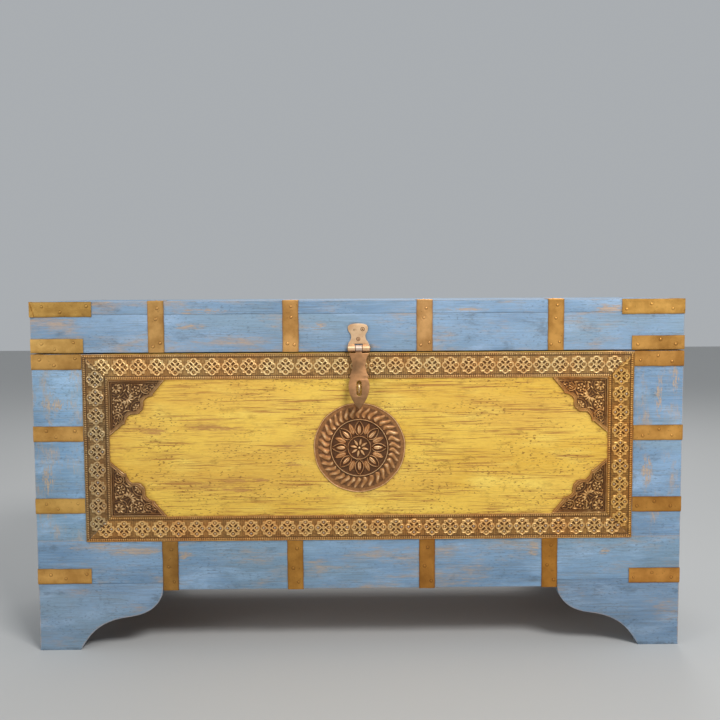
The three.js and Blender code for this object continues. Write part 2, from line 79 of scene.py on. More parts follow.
def make_camera():
    """Just above the lid's height, close in front of the middle, looking slightly down."""
    back_off, height, aside = 1.513, 0.612, -0.015
    pitch, yaw, roll = (radians(angle) for angle in (4.332, 0.642, -0.319))
    ahead = Vector((sin(yaw) * cos(pitch), cos(yaw) * cos(pitch), -sin(pitch)))
    level = Vector((cos(yaw), -sin(yaw), 0))
    right = Matrix.Rotation(-roll, 3, ahead) @ level
    upright = right.cross(ahead)
    data = bpy.data.cameras.new("camera")
    data.sensor_width = 36
    data.lens = 45
    camera = add_object("camera", data)
    turn = Matrix((right, upright, -ahead)).transposed()
    camera.matrix_world = Matrix.Translation((aside, FRONT - back_off, height)) @ turn.to_4x4()
    bpy.context.scene.camera = camera


def make_light(name, place, aim, size, power):
    """A rectangular light that faces its aim."""
    data = bpy.data.lights.new(name, "AREA")
    data.shape = "RECTANGLE"
    data.size, data.size_y = size
    data.energy = power
    light = add_object(name, data)
    light.location = place
    light.rotation_euler = (Vector(aim) - Vector(place)).to_track_quat("-Z", "Y").to_euler()


def make_studio():
    world = bpy.data.worlds.new("studio")
    world.use_nodes = True
    background = world.node_tree.nodes["Background"]
    background.inputs["Color"].default_value = (0.80, 0.84, 0.88, 1)
    background.inputs["Strength"].default_value = 0.5
    bpy.context.scene.world = world
    bpy.context.scene.view_settings.view_transform = "Standard"
    middle = (0, 0, 0.3)
    make_light("key", (1.0, -2.0, 2.4), middle, (1.0, 0.7), 62)
    make_light("fill", (-2.2, -2.0, 1.2), middle, (1.2, 1.2), 17)
    make_light("rim", (0.4, 2.4, 2.4), middle, (2.0, 0.8), 30)

    half = 8
    mesh = bpy.data.meshes.new("floor")
    corners = [(-half, -half, 0), (half, -half, 0), (half, half, 0), (-half, half, 0)]
    mesh.from_pydata(corners, [], [(0, 1, 2, 3)])
    floor = add_object("floor", mesh)
    surface = Surface("studio_floor")
    surface.shader.inputs["Base Color"].default_value = (0.50, 0.50, 0.49, 1)
    surface.shader.inputs["Roughness"].default_value = 0.65
    mesh.materials.append(surface.material)


# ---- meshes ----

EDGE_RELIEF = 0.4  # how bright the cut edge of a sheet is, at most: kept darker as painted shade with grime
SHARP_EDGE = radians(35)  # a made piece is smooth where its faces meet at less


class Build:
    """Collects closed bits of mesh, each point with its relief from 0, a recess, to 1, a ridge."""

    def __init__(self):
        self.points, self.faces, self.relief, self.count = [], [], [], 0

    def add(self, points, faces, relief=1.0):
        """Adds points, faces on them, and a relief for each point or one for all."""
        points = np.asarray(points, float)
        self.points.append(points)
        self.relief.append(np.broadcast_to(relief, len(points)))
        self.faces += [[self.count + i for i in face] for face in faces]
        self.count += len(points)

    def piece(self, name, body, material, replaced=()):
        """Makes the object, which rides on a body and may stand for some of CAD's nodes."""
        mesh = bpy.data.meshes.new(name)
        mesh.from_pydata(np.concatenate(self.points).tolist(), [], self.faces)
        mesh.attributes.new("relief", "FLOAT", "POINT").data.foreach_set(
            "value", np.concatenate(self.relief).astype(np.float32)
        )
        faces = bmesh.new()
        faces.from_mesh(mesh)
        bmesh.ops.recalc_face_normals(faces, faces=faces.faces)
        faces.to_mesh(mesh)
        faces.free()
        mesh.shade_smooth()
        mesh.set_sharp_from_angle(angle=SHARP_EDGE)
        mesh.materials.append(material)
        made = add_object(name, mesh)
        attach(made, body)
        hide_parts(*replaced)


def grid_faces(rows, columns):
    """The faces between a grid's points, which are numbered row by row."""
    index = np.arange(rows * columns).reshape(rows, columns)
    corners = (index[:-1, :-1], index[:-1, 1:], index[1:, 1:], index[1:, :-1])
    return np.stack(corners, -1).reshape(-1, 4).tolist()


def pressed_sheet(build, x, z, height, relief):
    """A closed sheet on the chest's front, whose face rises by height over a grid of places."""
    rows, columns = x.shape
    index = np.arange(x.size).reshape(rows, columns)
    front = np.stack([x, FRONT - height, z], -1).reshape(-1, 3)
    rim = np.concatenate([index[0, :-1], index[:-1, -1], index[-1, :0:-1], index[:0:-1, 0]])
    back = front[rim]
    back[:, 1] = FRONT
    behind = x.size + np.arange(len(rim))
    sides = np.stack([rim, np.roll(rim, -1), np.roll(behind, -1), behind], -1).tolist()
    faces = grid_faces(rows, columns) + sides + [behind.tolist()]
    relief = relief.reshape(-1)
    edge = np.minimum(relief[rim], EDGE_RELIEF)
    build.add(np.concatenate([front, back]), faces, np.concatenate([relief, edge]))


def lathe(build, profile, relief, place, axis, segments):
    """Turns (along, radius) points round an axis; a profile that starts off the axis is a closed ring."""
    axis = axis.normalized()
    out = axis.orthogonal().normalized()
    aside = axis.cross(out)
    points, values, rows = [], [], []
    for (along, radius), value in zip(profile, relief):
        count = segments if radius > 0 else 1
        rows.append([len(points) + i % count for i in range(segments)])
        for i in range(count):
            angle = tau * i / segments
            turned = out * cos(angle) + aside * sin(angle)
            points.append(place + axis * along + turned * radius)
        values += [value] * count
    ring = profile[0][1] > 0
    faces = []
    for near, far in zip(rows, rows[1:] + rows[:1] if ring else rows[1:]):
        for i in range(segments):
            j = (i + 1) % segments
            faces.append(list(dict.fromkeys([near[i], near[j], far[j], far[i]])))
    build.add(points, faces, values)


def curve_points(*stretches):
    """Points along straight and quadratic stretches: (x, y) goes straight, (cx, cy, x, y) curves."""
    points = [np.array(stretches[0], float)]
    for stretch in stretches[1:]:
        end = np.array(stretch[-2:], float)
        if len(stretch) == 4:
            start, pull = points[-1], np.array(stretch[:2], float)
            for t in np.linspace(0, 1, 11)[1:]:
                points.append((1 - t) ** 2 * start + 2 * t * (1 - t) * pull + t * t * end)
        else:
            points.append(end)
    return np.array(points)


def mirrored(right):
    """A whole outline from its right half, which starts and ends on the middle line."""
    return np.concatenate([right, right[-2:0:-1] * (-1, 1)])


def cut_plate(build, outlines, thickness, bevel, place):
    """A flat plate with softened edges: the first outline, less the rest.

    The outlines stand in XZ, in millimetres, and the plate's back is at place.
    """
    curve = bpy.data.curves.new("plate", "CURVE")
    curve.dimensions = "2D"
    curve.fill_mode = "BOTH"
    curve.extrude = thickness / 2 - bevel
    curve.bevel_depth = bevel
    curve.bevel_resolution = 2
    curve.offset = -bevel
    for outline in outlines:
        spline = curve.splines.new("POLY")
        spline.points.add(len(outline) - 1)
        spline.points.foreach_set("co", np.pad(outline * MM, ((0, 0), (0, 2))).reshape(-1))
        spline.use_cyclic_u = True
    holder = add_object("plate", curve)
    evaluated = holder.evaluated_get(bpy.context.evaluated_depsgraph_get())
    mesh = bpy.data.meshes.new_from_object(evaluated)
    merged = bmesh.new()
    merged.from_mesh(mesh)
    bmesh.ops.remove_doubles(merged, verts=merged.verts, dist=0.01 * MM)
    middle = Matrix.Translation(place) @ Matrix.Translation((0, -thickness / 2, 0))
    stand = middle @ Matrix.Rotation(pi / 2, 4, "X")
    merged.verts.index_update()
    points = [stand @ vertex.co for vertex in merged.verts]
    faces = [[vertex.index for vertex in face.verts] for face in merged.faces]
    merged.free()
    bpy.data.objects.remove(holder)
    bpy.data.curves.remove(curve)
    bpy.data.meshes.remove(mesh)
    build.add(points, faces)


# ---- materials ----


def srgb(red, green, blue):
    """A colour of 0 to 255 channels, as the linear colour that nodes take."""
    channels = [c / 255 for c in (red, green, blue)]
    return (*[c / 12.92 if c <= 0.04045 else ((c + 0.055) / 1.055) ** 2.4 for c in channels], 1)


def shaded(colour, shade):
    """A colour made darker or lighter by a factor, or by one for each channel."""
    factors = shade if isinstance(shade, tuple) else (shade,) * 3
    return (*[min(channel * factor, 1) for channel, factor in zip(colour, factors)], 1)


class Surface:
    """A material, with short ways to add the nodes that are used here."""

    def __init__(self, name):
        self.material = bpy.data.materials.new(name)
        self.material.use_nodes = True
        self.tree = self.material.node_tree
        self.shader = self.tree.nodes["Principled BSDF"]
        self.place = self.add("ShaderNodeTexCoord").outputs["Object"]

    def add(self, kind, inputs=None, **settings):
        node = self.tree.nodes.new(kind)
        for key, value in settings.items():
            setattr(node, key, value)
        for key, value in (inputs or {}).items():
            self.feed(node.inputs[key], value)
        return node

    def feed(self, socket, value):
        if isinstance(value, bpy.types.NodeSocket):
            self.tree.links.new(value, socket)
        else:
            socket.default_value = value

    def math(self, operation, a, b=0.0, clamp=False):
        return self.add("ShaderNodeMath", {0: a, 1: b}, operation=operation, use_clamp=clamp).outputs[0]

    def times(self, a, b):
        return self.math("MULTIPLY", a, b)

    def plus(self, a, b):
        return self.math("ADD", a, b)

    def minus(self, a, b):
        return self.math("SUBTRACT", a, b)

    def vector(self, operation, a, b=(0, 0, 0)):
        """The outputs of a step of vector maths: a vector first, and a "Value"."""
        return self.add("ShaderNodeVectorMath", {0: a, 1: b}, operation=operation).outputs

    def band(self, value, low, high):
        """0 below low, 1 above high, smooth between."""
        inputs = {"Value": value, "From Min": low, "From Max": high}
        return self.add("ShaderNodeMapRange", inputs, interpolation_type="SMOOTHSTEP").outputs[0]

    def mix(self, factor, a, b, blend="MIX"):
        node = self.add("ShaderNodeMix", {0: factor, 6: a, 7: b}, data_type="RGBA", blend_type=blend)
        return node.outputs[2]

    def noise(self, size, seed=0, detail=3.0, roughness=0.5, distortion=0.0):
        """Noise with features of about the given lengths in metres, and another part of it for each seed."""
        scale = [1 / length for length in size]
        shift = Vector((seed * 3.7, seed * 5.3, seed * 7.1))
        places = {0: self.place, 1: scale, 2: shift}
        inputs = {
            "Vector": self.add("ShaderNodeVectorMath", places, operation="MULTIPLY_ADD").outputs[0],
            "Scale": 1.0,
            "Detail": detail,
            "Roughness": roughness,
            "Distortion": distortion,
        }
        return self.add("ShaderNodeTexNoise", inputs).outputs[0]

    def relief(self):
        return self.add("ShaderNodeAttribute", attribute_name="relief").outputs["Fac"]

    def edges(self, radius):
        """About 0 on flat surfaces, rising to 0.3 on the edge of a board."""
        rounded = self.add("ShaderNodeBevel", {"Radius": radius}, samples=4).outputs[0]
        normal = self.add("ShaderNodeNewGeometry").outputs["Normal"]
        return self.minus(1.0, self.vector("DOT_PRODUCT", rounded, normal)["Value"])

    def shelter(self, reach):
        """How far other surfaces within reach close in on a place: 0 in the open, towards 1 in a joint."""
        open_side = self.add("ShaderNodeAmbientOcclusion", {"Distance": reach}, samples=6)
        return self.minus(1.0, open_side.outputs["AO"])

    def bump(self, height, distance, strength, normal=None):
        inputs = {"Height": height, "Distance": distance, "Strength": strength}
        if normal:
            inputs["Normal"] = normal
        return self.add("ShaderNodeBump", inputs).outputs[0]

    def finish(self, colour, roughness, normal, metallic=0.0, specular=0.5):
        self.feed(self.shader.inputs["Base Color"], colour)
        self.feed(self.shader.inputs["Roughness"], roughness)
        self.feed(self.shader.inputs["Normal"], normal)
        self.shader.inputs["Metallic"].default_value = metallic
        self.shader.inputs["Specular IOR Level"].default_value = specular
        return self.material


# grime is the colour of pores, stains and dirt, and also of the painted shade where parts meet.
BLUE = {
    "deep": srgb(112, 142, 172),
    "usual": srgb(134, 163, 192),
    "pale": srgb(158, 184, 212),
    "aged": srgb(128, 150, 162),
    "grime": srgb(84, 94, 100),
    "wood": srgb(210, 170, 128),
    "stroke": srgb(132, 138, 140),
    "fine": 0.32,
    "lines": 0.40,
    "pores": 0.40,
    "rubbed": 0.70,
    "bared": 0.58,
}
YELLOW = {
    "deep": srgb(222, 175, 62),
    "usual": srgb(234, 193, 78),
    "pale": srgb(242, 209, 96),
    "aged": srgb(222, 174, 76),
    "grime": srgb(124, 76, 28),
    "wood": srgb(192, 138, 80),
    "stroke": srgb(166, 108, 50),
    "fine": 0.30,
    "lines": 0.80,
    "pores": 0.70,
    "rubbed": 0.765,
    "bared": 0.55,
}


def grained(surface, grain, stretch=1.0):
    """Noise drawn out along the grain of a board, from its lengths along and across the grain."""

    def draw(along, across, seed=0, **settings):
        size = [across] * 3
        size["XYZ".index(grain)] = across + stretch * (along - across)
        return surface.noise(size, seed, **settings)

    return draw


def bare_colour(surface, draw, seed):
    """Unpainted wood with its figure, for the inside of the chest."""
    figure = draw(0.5, 0.012, seed + 31, detail=5, roughness=0.6, distortion=0.6)
    fibre = draw(0.06, 0.0012, seed + 32, detail=3)
    colour = surface.mix(surface.band(figure, 0.32, 0.68), srgb(122, 84, 52), srgb(172, 128, 86))
    return surface.mix(surface.times(surface.band(fibre, 0.55, 0.75), 0.5), colour, srgb(92, 62, 38))


def inside_case(surface):
    """1 on the faces that enclose the inside of the case and lid, 0 on the rest."""
    low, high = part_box("floor_board")[0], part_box("lid_front_rail")[1]
    corner, far_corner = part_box("side_panel_left")
    front, back = corner.y, far_corner.y
    under = 20 * MM  # half of how far the bare wood goes on below the floor board, out of sight
    half = Vector((abs(far_corner.x), (back - front) / 2, (high.z - low.z) / 2 + under))
    middle = Vector((0, (front + back) / 2, (high.z + low.z) / 2 - under))
    away = surface.vector("ABSOLUTE", surface.vector("SUBTRACT", surface.place, middle)[0])[0]
    parts = surface.add("ShaderNodeSeparateXYZ", {0: away}).outputs
    inside = 1.0
    for part, reach in zip(parts, half):
        inside = surface.times(surface.math("LESS_THAN", part, reach + 0.3 * MM), inside)
    return inside


# Places on the front that are worn more than the rest, in mm: across, up, half length and half height.
LID_SCRAPES = [(-259, 580, 60, 7), (-282, 556, 34, 9), (-64, 554, 18, 12)]
LID_SCRAPES += [(179, 581, 48, 7), (416, 582, 42, 10)]
END_SCRAPES = [(-510, 424, 34, 13), (-527, 292, 14, 34)]
END_SCRAPES += [(509, 431, 9, 44), (537, 460, 8, 26), (491, 306, 13, 34)]
RAIL_SCRAPES = [(-300, 164, 18, 15), (296, 168, 13, 17), (421, 163, 13, 8), (-377, 172, 44, 7)]
YELLOW_SCRAPES = [(-123, 351, 34, 5), (-164, 293, 52, 5), (-208, 277, 42, 5), (-119, 320, 34, 6)]
YELLOW_SCRAPES += [(-346, 378, 28, 8), (-231, 383, 54, 6)]
SCRAPE_DEPTH = 20 * MM  # how far in from the front a scrape fades out
DIRT_AND_SHADE_REACH = 7 * MM  # how far from a joint dirt and painted shade reach


def worn_places(surface, scrapes):
    """1 in the middle of each scrape, falling to 0 at its edge."""
    worn = 0.0
    for x, z, length, height in scrapes:
        size = (length * MM, SCRAPE_DEPTH, height * MM)
        away = surface.vector("SUBTRACT", surface.place, (x * MM, FRONT, z * MM))[0]
        distance = surface.vector("LENGTH", surface.vector("DIVIDE", away, size)[0])["Value"]
        worn = surface.math("MAXIMUM", surface.minus(1.0, distance), worn)
    return worn


def off_seams(surface):
    """0 beside the level joints that show on the chest's front, where no edge is open, and 1 elsewhere."""
    height = surface.add("ShaderNodeSeparateXYZ", {0: surface.place}).outputs["Z"]
    clear = 1.0
    for seam in (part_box("lid_top_board")[0].z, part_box("foot_front_left")[1].z):
        away = surface.math("ABSOLUTE", surface.minus(height, seam))
        clear = surface.times(surface.band(away, 4 * MM, 8 * MM), clear)
    return clear


def brushed_paint(surface, draw, paint, seed):
    """Clouded and mottled paint with fine strokes; gives its colour and the marks of the brush."""
    band, mix, times = surface.band, surface.mix, surface.times
    clouds = band(draw(0.22, 0.06, seed, detail=4), 0.36, 0.62)
    colour = mix(clouds, paint["deep"], paint["usual"])
    aged = band(draw(0.30, 0.10, seed + 12, detail=4), 0.45, 0.62)
    colour = mix(times(aged, 0.55), colour, paint["aged"])
    faded = band(draw(0.15, 0.04, seed + 1, detail=5, roughness=0.6), 0.5, 0.72)
    colour = mix(faded, colour, paint["pale"])
    brushed = draw(0.07, 0.0016, seed + 2, detail=4, roughness=0.65)
    colour = mix(times(band(brushed, 0.42, 0.7), 0.45), colour, paint["pale"])
    mottled = band(draw(0.006, 0.003, seed + 13, detail=4, roughness=0.7), 0.48, 0.66)
    colour = mix(times(mottled, 0.35), colour, paint["aged"])
    fine = band(draw(0.020, 0.0014, seed + 16, detail=3, roughness=0.6), 0.48, 0.68)
    return mix(times(fine, paint["fine"]), colour, paint["stroke"]), brushed


def grain_marks(surface, draw, colour, paint, seed):
    """Lines along the grain, in clusters, and short pores between them; gives the colour and the lines."""
    band, mix, times = surface.band, surface.mix, surface.times
    clusters = band(draw(0.14, 0.024, seed + 14, detail=4), 0.40, 0.56)
    lines = times(band(draw(0.075, 0.0016, seed + 3, detail=4, roughness=0.6), 0.53, 0.60), clusters)
    colour = mix(times(lines, paint["lines"]), colour, paint["stroke"])
    pores = band(draw(0.0065, 0.0024, seed + 7, detail=2), 0.59, 0.64)
    pores = times(pores, band(draw(0.07, 0.03, seed + 8), 0.40, 0.58))
    return mix(times(pores, paint["pores"]), colour, paint["grime"]), lines


def rubbing(surface, draw, scrape, scrapes, seed):
    """How far each place was rubbed: in broad regions broken up by the grain, and at the scrapes."""
    times, plus = surface.times, surface.plus
    region = scrape(0.10, 0.032, seed + 4, detail=4, roughness=0.6)
    broken = scrape(0.022, 0.0030, seed + 5, detail=5, roughness=0.75)
    rubbed = plus(times(region, 0.62), times(broken, 0.40))
    rubbed = plus(rubbed, times(draw(0.45, 0.2, seed + 15, detail=2), 0.24))
    ragged = plus(times(surface.band(broken, 0.42, 0.58), 0.26), 0.08)
    return plus(rubbed, times(worn_places(surface, scrapes), ragged))


def painted_wood(
    name, grain, paint, seed, shade=1.0, wear=0.0, edge_wear=3.5 * MM, rubbed_along=None, scrapes=()
):
    """Thin worn paint over wood: brushed tones, dark pores and lines in the grain, and rubbed patches.

    Wear adds to the patches, which run along the grain, or shorter along another axis. Open edges
    are bare for about the length of edge_wear.
    """
    surface = Surface(name)
    band, mix, times = surface.band, surface.mix, surface.times
    draw = grained(surface, grain)
    scrape = grained(surface, rubbed_along, 0.4) if rubbed_along else draw
    paint = {key: shaded(value, shade) if isinstance(value, tuple) else value for key, value in paint.items()}
    colour, brushed = brushed_paint(surface, draw, paint, seed)
    colour, lines = grain_marks(surface, draw, colour, paint, seed)

    # Rubbed places are grazed round their edges and bare in their middles, and stains lie over all.
    rubbed = rubbing(surface, draw, scrape, scrapes, seed)
    start = paint["rubbed"] - wear
    grazed = times(band(rubbed, start - 0.07, start + 0.05), 0.45)
    patches = band(rubbed, start, start + 0.12)
    wood = mix(times(band(draw(0.05, 0.002, seed + 6), 0.40, 0.65), 0.35), paint["wood"], paint["grime"])
    colour = mix(grazed, colour, mix(0.4, paint["stroke"], paint["wood"]))
    colour = mix(times(patches, paint["bared"]), colour, wood)
    stains = band(draw(0.05, 0.022, seed + 9, detail=5, roughness=0.7), 0.56, 0.74)
    colour = mix(times(stains, 0.5), colour, paint["grime"])

    # Dirt and painted shade darken the paint where boards and brass meet, found by ambient occlusion, and
    # open edges are worn to the wood.
    dirt_and_shade = band(surface.shelter(DIRT_AND_SHADE_REACH), 0.05, 0.24)
    ragged = band(draw(0.02, 0.008, seed + 17, detail=4, roughness=0.65), 0.32, 0.62)
    colour = mix(times(times(dirt_and_shade, ragged), 0.6), colour, paint["grime"])
    edge = surface.plus(surface.edges(edge_wear), times(draw(0.03, 0.006, seed + 10, detail=4), 0.3))
    worn_edge = times(band(edge, 0.25, 0.37), surface.minus(1.0, dirt_and_shade))
    worn_edge = times(worn_edge, off_seams(surface))
    colour = mix(times(worn_edge, 0.8), colour, wood)
    colour = mix(inside_case(surface), colour, bare_colour(surface, draw, seed))

    fibre = draw(0.05, 0.0013, seed + 11, detail=4, roughness=0.6)
    worn_away = surface.math("MAXIMUM", surface.math("MAXIMUM", patches, worn_edge), lines)
    normal = surface.bump(surface.minus(fibre, times(worn_away, 0.7)), 0.4 * MM, 0.7)
    roughness = surface.plus(times(brushed, 0.25), 0.46)
    return surface.finish(colour, roughness, normal, specular=0.35)


def bare_wood(name, grain, seed):
    surface = Surface(name)
    draw = grained(surface, grain)
    normal = surface.bump(draw(0.05, 0.0013, seed, detail=4, roughness=0.6), 0.4 * MM, 0.6)
    return surface.finish(bare_colour(surface, draw, seed), 0.75, normal, specular=0.3)


# Each metal's usual, light and dark tones, or where it is embossed, its recesses', middle's and ridges'.
METALS = {
    "strip": ((196, 142, 70), (232, 178, 98), (112, 72, 30)),
    "skirt": ((156, 106, 44), (186, 132, 60), (86, 54, 22)),
    "border": ((112, 80, 46), (204, 156, 92), (250, 214, 152)),
    "spandrel": ((92, 60, 34), (178, 130, 74), (238, 194, 132)),
    "medallion": ((92, 60, 36), (182, 128, 76), (252, 212, 160)),
    "hasp_plate": ((228, 178, 132), (252, 214, 170), (122, 80, 50)),
    "hasp_strap": ((134, 98, 64), (186, 134, 88), (92, 60, 36)),
    # The knuckle's pale tones are rubbed brass and a painted highlight.
    "hasp_knuckle": ((206, 178, 156), (236, 212, 192), (112, 80, 56)),
    "hinge": ((168, 124, 66), (196, 150, 84), (96, 64, 30)),
    # The staple's light tones are partly a painted highlight.
    "staple": ((214, 176, 126), (246, 216, 170), (120, 84, 52)),
    "steel": ((120, 112, 100), (160, 150, 134), (60, 54, 48)),
}


def sheet_brass(name, metal, seed, shade=1.0, worked=True):
    """Metal cut and nailed on by hand: clouded tones, tarnish spots, scratches and dents.

    A worked piece is dark where its relief is low: grime, and painted shade round nail and rivet heads and
    along its edges.
    """
    surface = Surface(name)
    usual, light, dark = (shaded(srgb(*tone), shade) for tone in METALS[metal])
    clouds = surface.noise((0.035,) * 3, seed, detail=5, roughness=0.6)
    colour = surface.mix(surface.band(clouds, 0.3, 0.7), usual, light)
    spots = surface.band(surface.noise((0.006,) * 3, seed + 1, detail=4, roughness=0.7), 0.60, 0.72)
    colour = surface.mix(surface.times(spots, 0.45), colour, dark)
    if worked:
        # Painted shade with grime: darker where the relief is low.
        recess = surface.math("SUBTRACT", 1.0, surface.relief(), clamp=True)
        colour = surface.mix(recess, colour, dark)
    scratches = surface.noise((0.03, 0.03, 0.0007), seed + 2)
    dents = surface.noise((0.012,) * 3, seed + 3, detail=2)
    normal = surface.bump(scratches, 0.1 * MM, 0.35)
    normal = surface.bump(dents, 0.8 * MM, 0.5, normal)
    roughness = surface.plus(surface.times(clouds, 0.25), 0.30)
    return surface.finish(colour, roughness, normal, metallic=0.75)


def embossed_metal(name, metal, seed, shade=1.0, glow=0.35):
    """Pressed sheet: dark in its recesses with patina and painted shade, rubbed bright on its ridges with a
    painted highlight, and silvered where pips are, with a painted grey-blue reflection.

    Its tarnish is an uneven orange, as strong as glow.
    """
    surface = Surface(name)
    band, mix, times = surface.band, surface.mix, surface.times
    recess, middle, ridge = (shaded(srgb(*tone), shade) for tone in METALS[metal])
    relief = surface.relief()
    grime = surface.noise((0.008,) * 3, seed, detail=4, roughness=0.65)
    specks = surface.noise((0.0028,) * 3, seed + 4, roughness=0.7)
    uneven = surface.plus(times(grime, 0.5), times(specks, 0.35))
    level = surface.plus(relief, surface.minus(uneven, 0.425))
    # Dark recesses are patina and painted shade; bright ridges are rubbed brass and a painted highlight.
    colour = mix(band(level, 0.05, 0.55), recess, middle)
    colour = mix(band(level, 0.55, 1.0), colour, ridge)
    orange = mix(1.0, colour, srgb(255, 206, 150), blend="MULTIPLY")
    broad = band(surface.noise((0.05,) * 3, seed + 1), 0.40, 0.65)
    colour = mix(times(broad, glow), colour, orange)
    # The pips are silvered, with a painted reflection: a flat grey-blue over their colour.
    silvering_and_reflection = times(band(surface.noise((0.011,) * 3, seed + 5), 0.36, 0.60), 0.85)
    colour = mix(times(band(relief, 1.1, 1.4), silvering_and_reflection), colour, srgb(152, 156, 164))
    pricked = surface.noise((0.0022,) * 3, seed + 2)
    beaten = surface.noise((0.007,) * 3, seed + 3, detail=2)
    normal = surface.bump(beaten, 0.9 * MM, 0.5, surface.bump(pricked, 0.3 * MM, 0.6))
    roughness = surface.minus(0.58, times(band(level, 0.4, 1.0), 0.18))
    return surface.finish(colour, roughness, normal, metallic=0.6)


# ---- the woodwork: CAD boards with softened edges and their own materials ----

BOARD_EDGE = 1.0 * MM  # widths of softened edges
PANEL_EDGE = 0.6 * MM
METAL_EDGE = 0.3 * MM


def soften(node, width, smooth=40):
    """Rounds a CAD piece's edges where its faces meet at more than smooth degrees."""
    weld = node.modifiers.new("weld", "WELD")
    weld.merge_threshold = 0.005 * MM
    bevel = node.modifiers.new("soft_edges", "BEVEL")
    bevel.width = width
    bevel.segments = 3
    bevel.limit_method = "ANGLE"
    bevel.angle_limit = radians(smooth)
    bevel.harden_normals = True
    node.data.shade_smooth()
    node.data.set_sharp_from_angle(angle=radians(smooth))


def dress(name, material):
    node = frame["nodes"][name]
    node.data.materials.clear()
    node.data.materials.append(material)
    return node


def dress_woodwork():
    """Blue boards, duller, darker and less rubbed low down, and the yellow one."""
    ends = ("front", "back")
    low = {"shade": 0.81, "wear": -0.03, "edge_wear": 6 * MM}
    upright = {"rubbed_along": "Z", "scrapes": END_SCRAPES}
    upright_shades = {"left": (1.0, 1.07, 1.08), "right": (0.97, 1.0, 1.02)}
    boards = [("front_bottom_rail", "X", {"shade": (0.81, 0.86, 0.88), "scrapes": RAIL_SCRAPES})]
    boards += [(name, "X", {"scrapes": LID_SCRAPES}) for name in ("lid_top_board", "lid_front_rail")]
    boards += [(name, "X", {}) for name in ("back_panel", "lid_back_rail")]
    boards += [(f"{board}_{side}", "Y", {}) for board in ("side_panel", "lid_side_rail") for side in SIDES]
    boards += [(f"foot_{end}_{side}", "X", low) for end in ends for side in SIDES]
    boards += [(f"foot_side_{end}_{side}", "Y", low) for end in ends for side in SIDES]
    boards += [(f"front_end_{side}", "X", upright | {"shade": upright_shades[side]}) for side in SIDES]
    for count, (name, grain, look) in enumerate(boards):
        paint = painted_wood(f"blue_{name}", grain, BLUE, 1.7 * count + 2.3, **look)
        soften(dress(name, paint), BOARD_EDGE)
    yellow = painted_wood("yellow_board", "X", YELLOW, 61, scrapes=YELLOW_SCRAPES)
    soften(dress("front_board", yellow), PANEL_EDGE)
    soften(dress("floor_board", bare_wood("floor_boards", "X", 70)), PANEL_EDGE)


# ---- brass straps and corner strips ----

SHEET = 1.0 * MM
SHEET_BACK = 0.12 * MM  # the sheet's inner face stands this far off the wood
STEP = 2 * MM  # between points along a sheet
BEND = 4  # points round each of its bends
COLUMNS = np.linspace(-1, 1, 13)  # places across it, from one edge to the other
RAGGED, RAGGED_LENGTH = 0.45 * MM, 0.018  # how far its cut edges wander, and over what length
RIPPLE, RIPPLE_ALONG, RIPPLE_ACROSS = 0.22 * MM, 0.022, 0.011
DENT_DEPTH, DENT_REACH = 0.3 * MM, 3.5 * MM  # round each nail
EDGE_DROP = 0.3 * MM  # how far its edges are hammered down
NAIL, NAIL_SPREAD = 2.2 * MM, 0.25 * MM  # radius of a nail's head, and how much it differs
NAIL_SINK = 0.2 * MM


def wobble(where, seed, reach):
    """A smooth wander within about reach, along a hand-cut edge."""
    return reach * noise.noise(Vector((where, seed * 9.7, seed * 3.1)))


def along_path(path, across):
    """Places on the wood along a bent path, each with the way out of the wood there and the length so far."""
    places, travelled = [], 0.0
    legs = list(zip(path, path[1:]))
    for i, (start, end) in enumerate(legs):
        leg = end - start
        out = across.cross(leg.normalized())
        count = max(1, round(leg.length / STEP))
        for k in range(min(i, 1), count):
            places.append((start + leg * k / count, out, travelled + leg.length * k / count))
        travelled += leg.length
        places.append((end, out, travelled))
        if i + 1 < len(legs):
            turned = across.cross((legs[i + 1][1] - legs[i + 1][0]).normalized())
            for k in range(1, BEND + 1):
                places.append((end, out.lerp(turned, k / BEND).normalized(), travelled))
    return places


def stud(build, place, out, radius, profile, relief, segments):
    """The head of a nail or rivet, from a profile in shares of its radius, out from its foot."""
    foot = (profile[0][0], 0)
    shaped = [(along * radius, aside * radius) for along, aside in [foot] + profile]
    lathe(build, shaped, relief, place, out, segments)


def nail(build, place, out, radius):
    """A low domed nail head in a dark ring of grime and painted shade."""
    profile = [(-0.3, 1.25), (0.06, 1.25), (0.08, 1.0), (0.22, 0.95), (0.36, 0.7), (0.42, 0.36), (0.44, 0)]
    stud(build, place, out, radius, profile, [0.5, 0.45, 0.3, 0.25, 0.75, 0.9, 0.95, 0.95], 14)


def sheet_row(place, out, s, across, width, seed, nails):
    """Points across a sheet at a length s along it, with its ragged edges, ripples and dents."""
    half = [width / 2 + wobble(s / RAGGED_LENGTH, seed + side, RAGGED) for side in (0.1, 0.2)]
    row = []
    for c in COLUMNS:
        aside = c * half[0 if c < 0 else 1]
        ripple = noise.noise(Vector((s / RIPPLE_ALONG, aside / RIPPLE_ACROSS, seed * 5.3)))
        lift = SHEET + RIPPLE * ripple - EDGE_DROP * (abs(c) == 1)
        for nail_s, nail_c in nails:
            distance = hypot(s - nail_s, aside - nail_c * width / 2)
            lift -= DENT_DEPTH * exp(-((distance / DENT_REACH) ** 2))
        row.append(place + across * aside + out * lift)
    return row


def sheet_faces(length, count):
    """Faces of a sheet of length rows of count points, with the two points behind each row after them all."""
    faces = grid_faces(length, count)
    base = length * count
    for i in range(length - 1):
        near, far, behind = i * count, (i + 1) * count, base + 2 * i
        faces.append([near, far, behind + 2, behind])
        faces.append([near + count - 1, behind + 1, behind + 3, far + count - 1])
        faces.append([behind, behind + 2, behind + 3, behind + 1])
    last, end = base - count, base + 2 * length
    faces.append([*range(count), base + 1, base])
    faces.append([*range(last, base), end - 1, end - 2])
    return faces


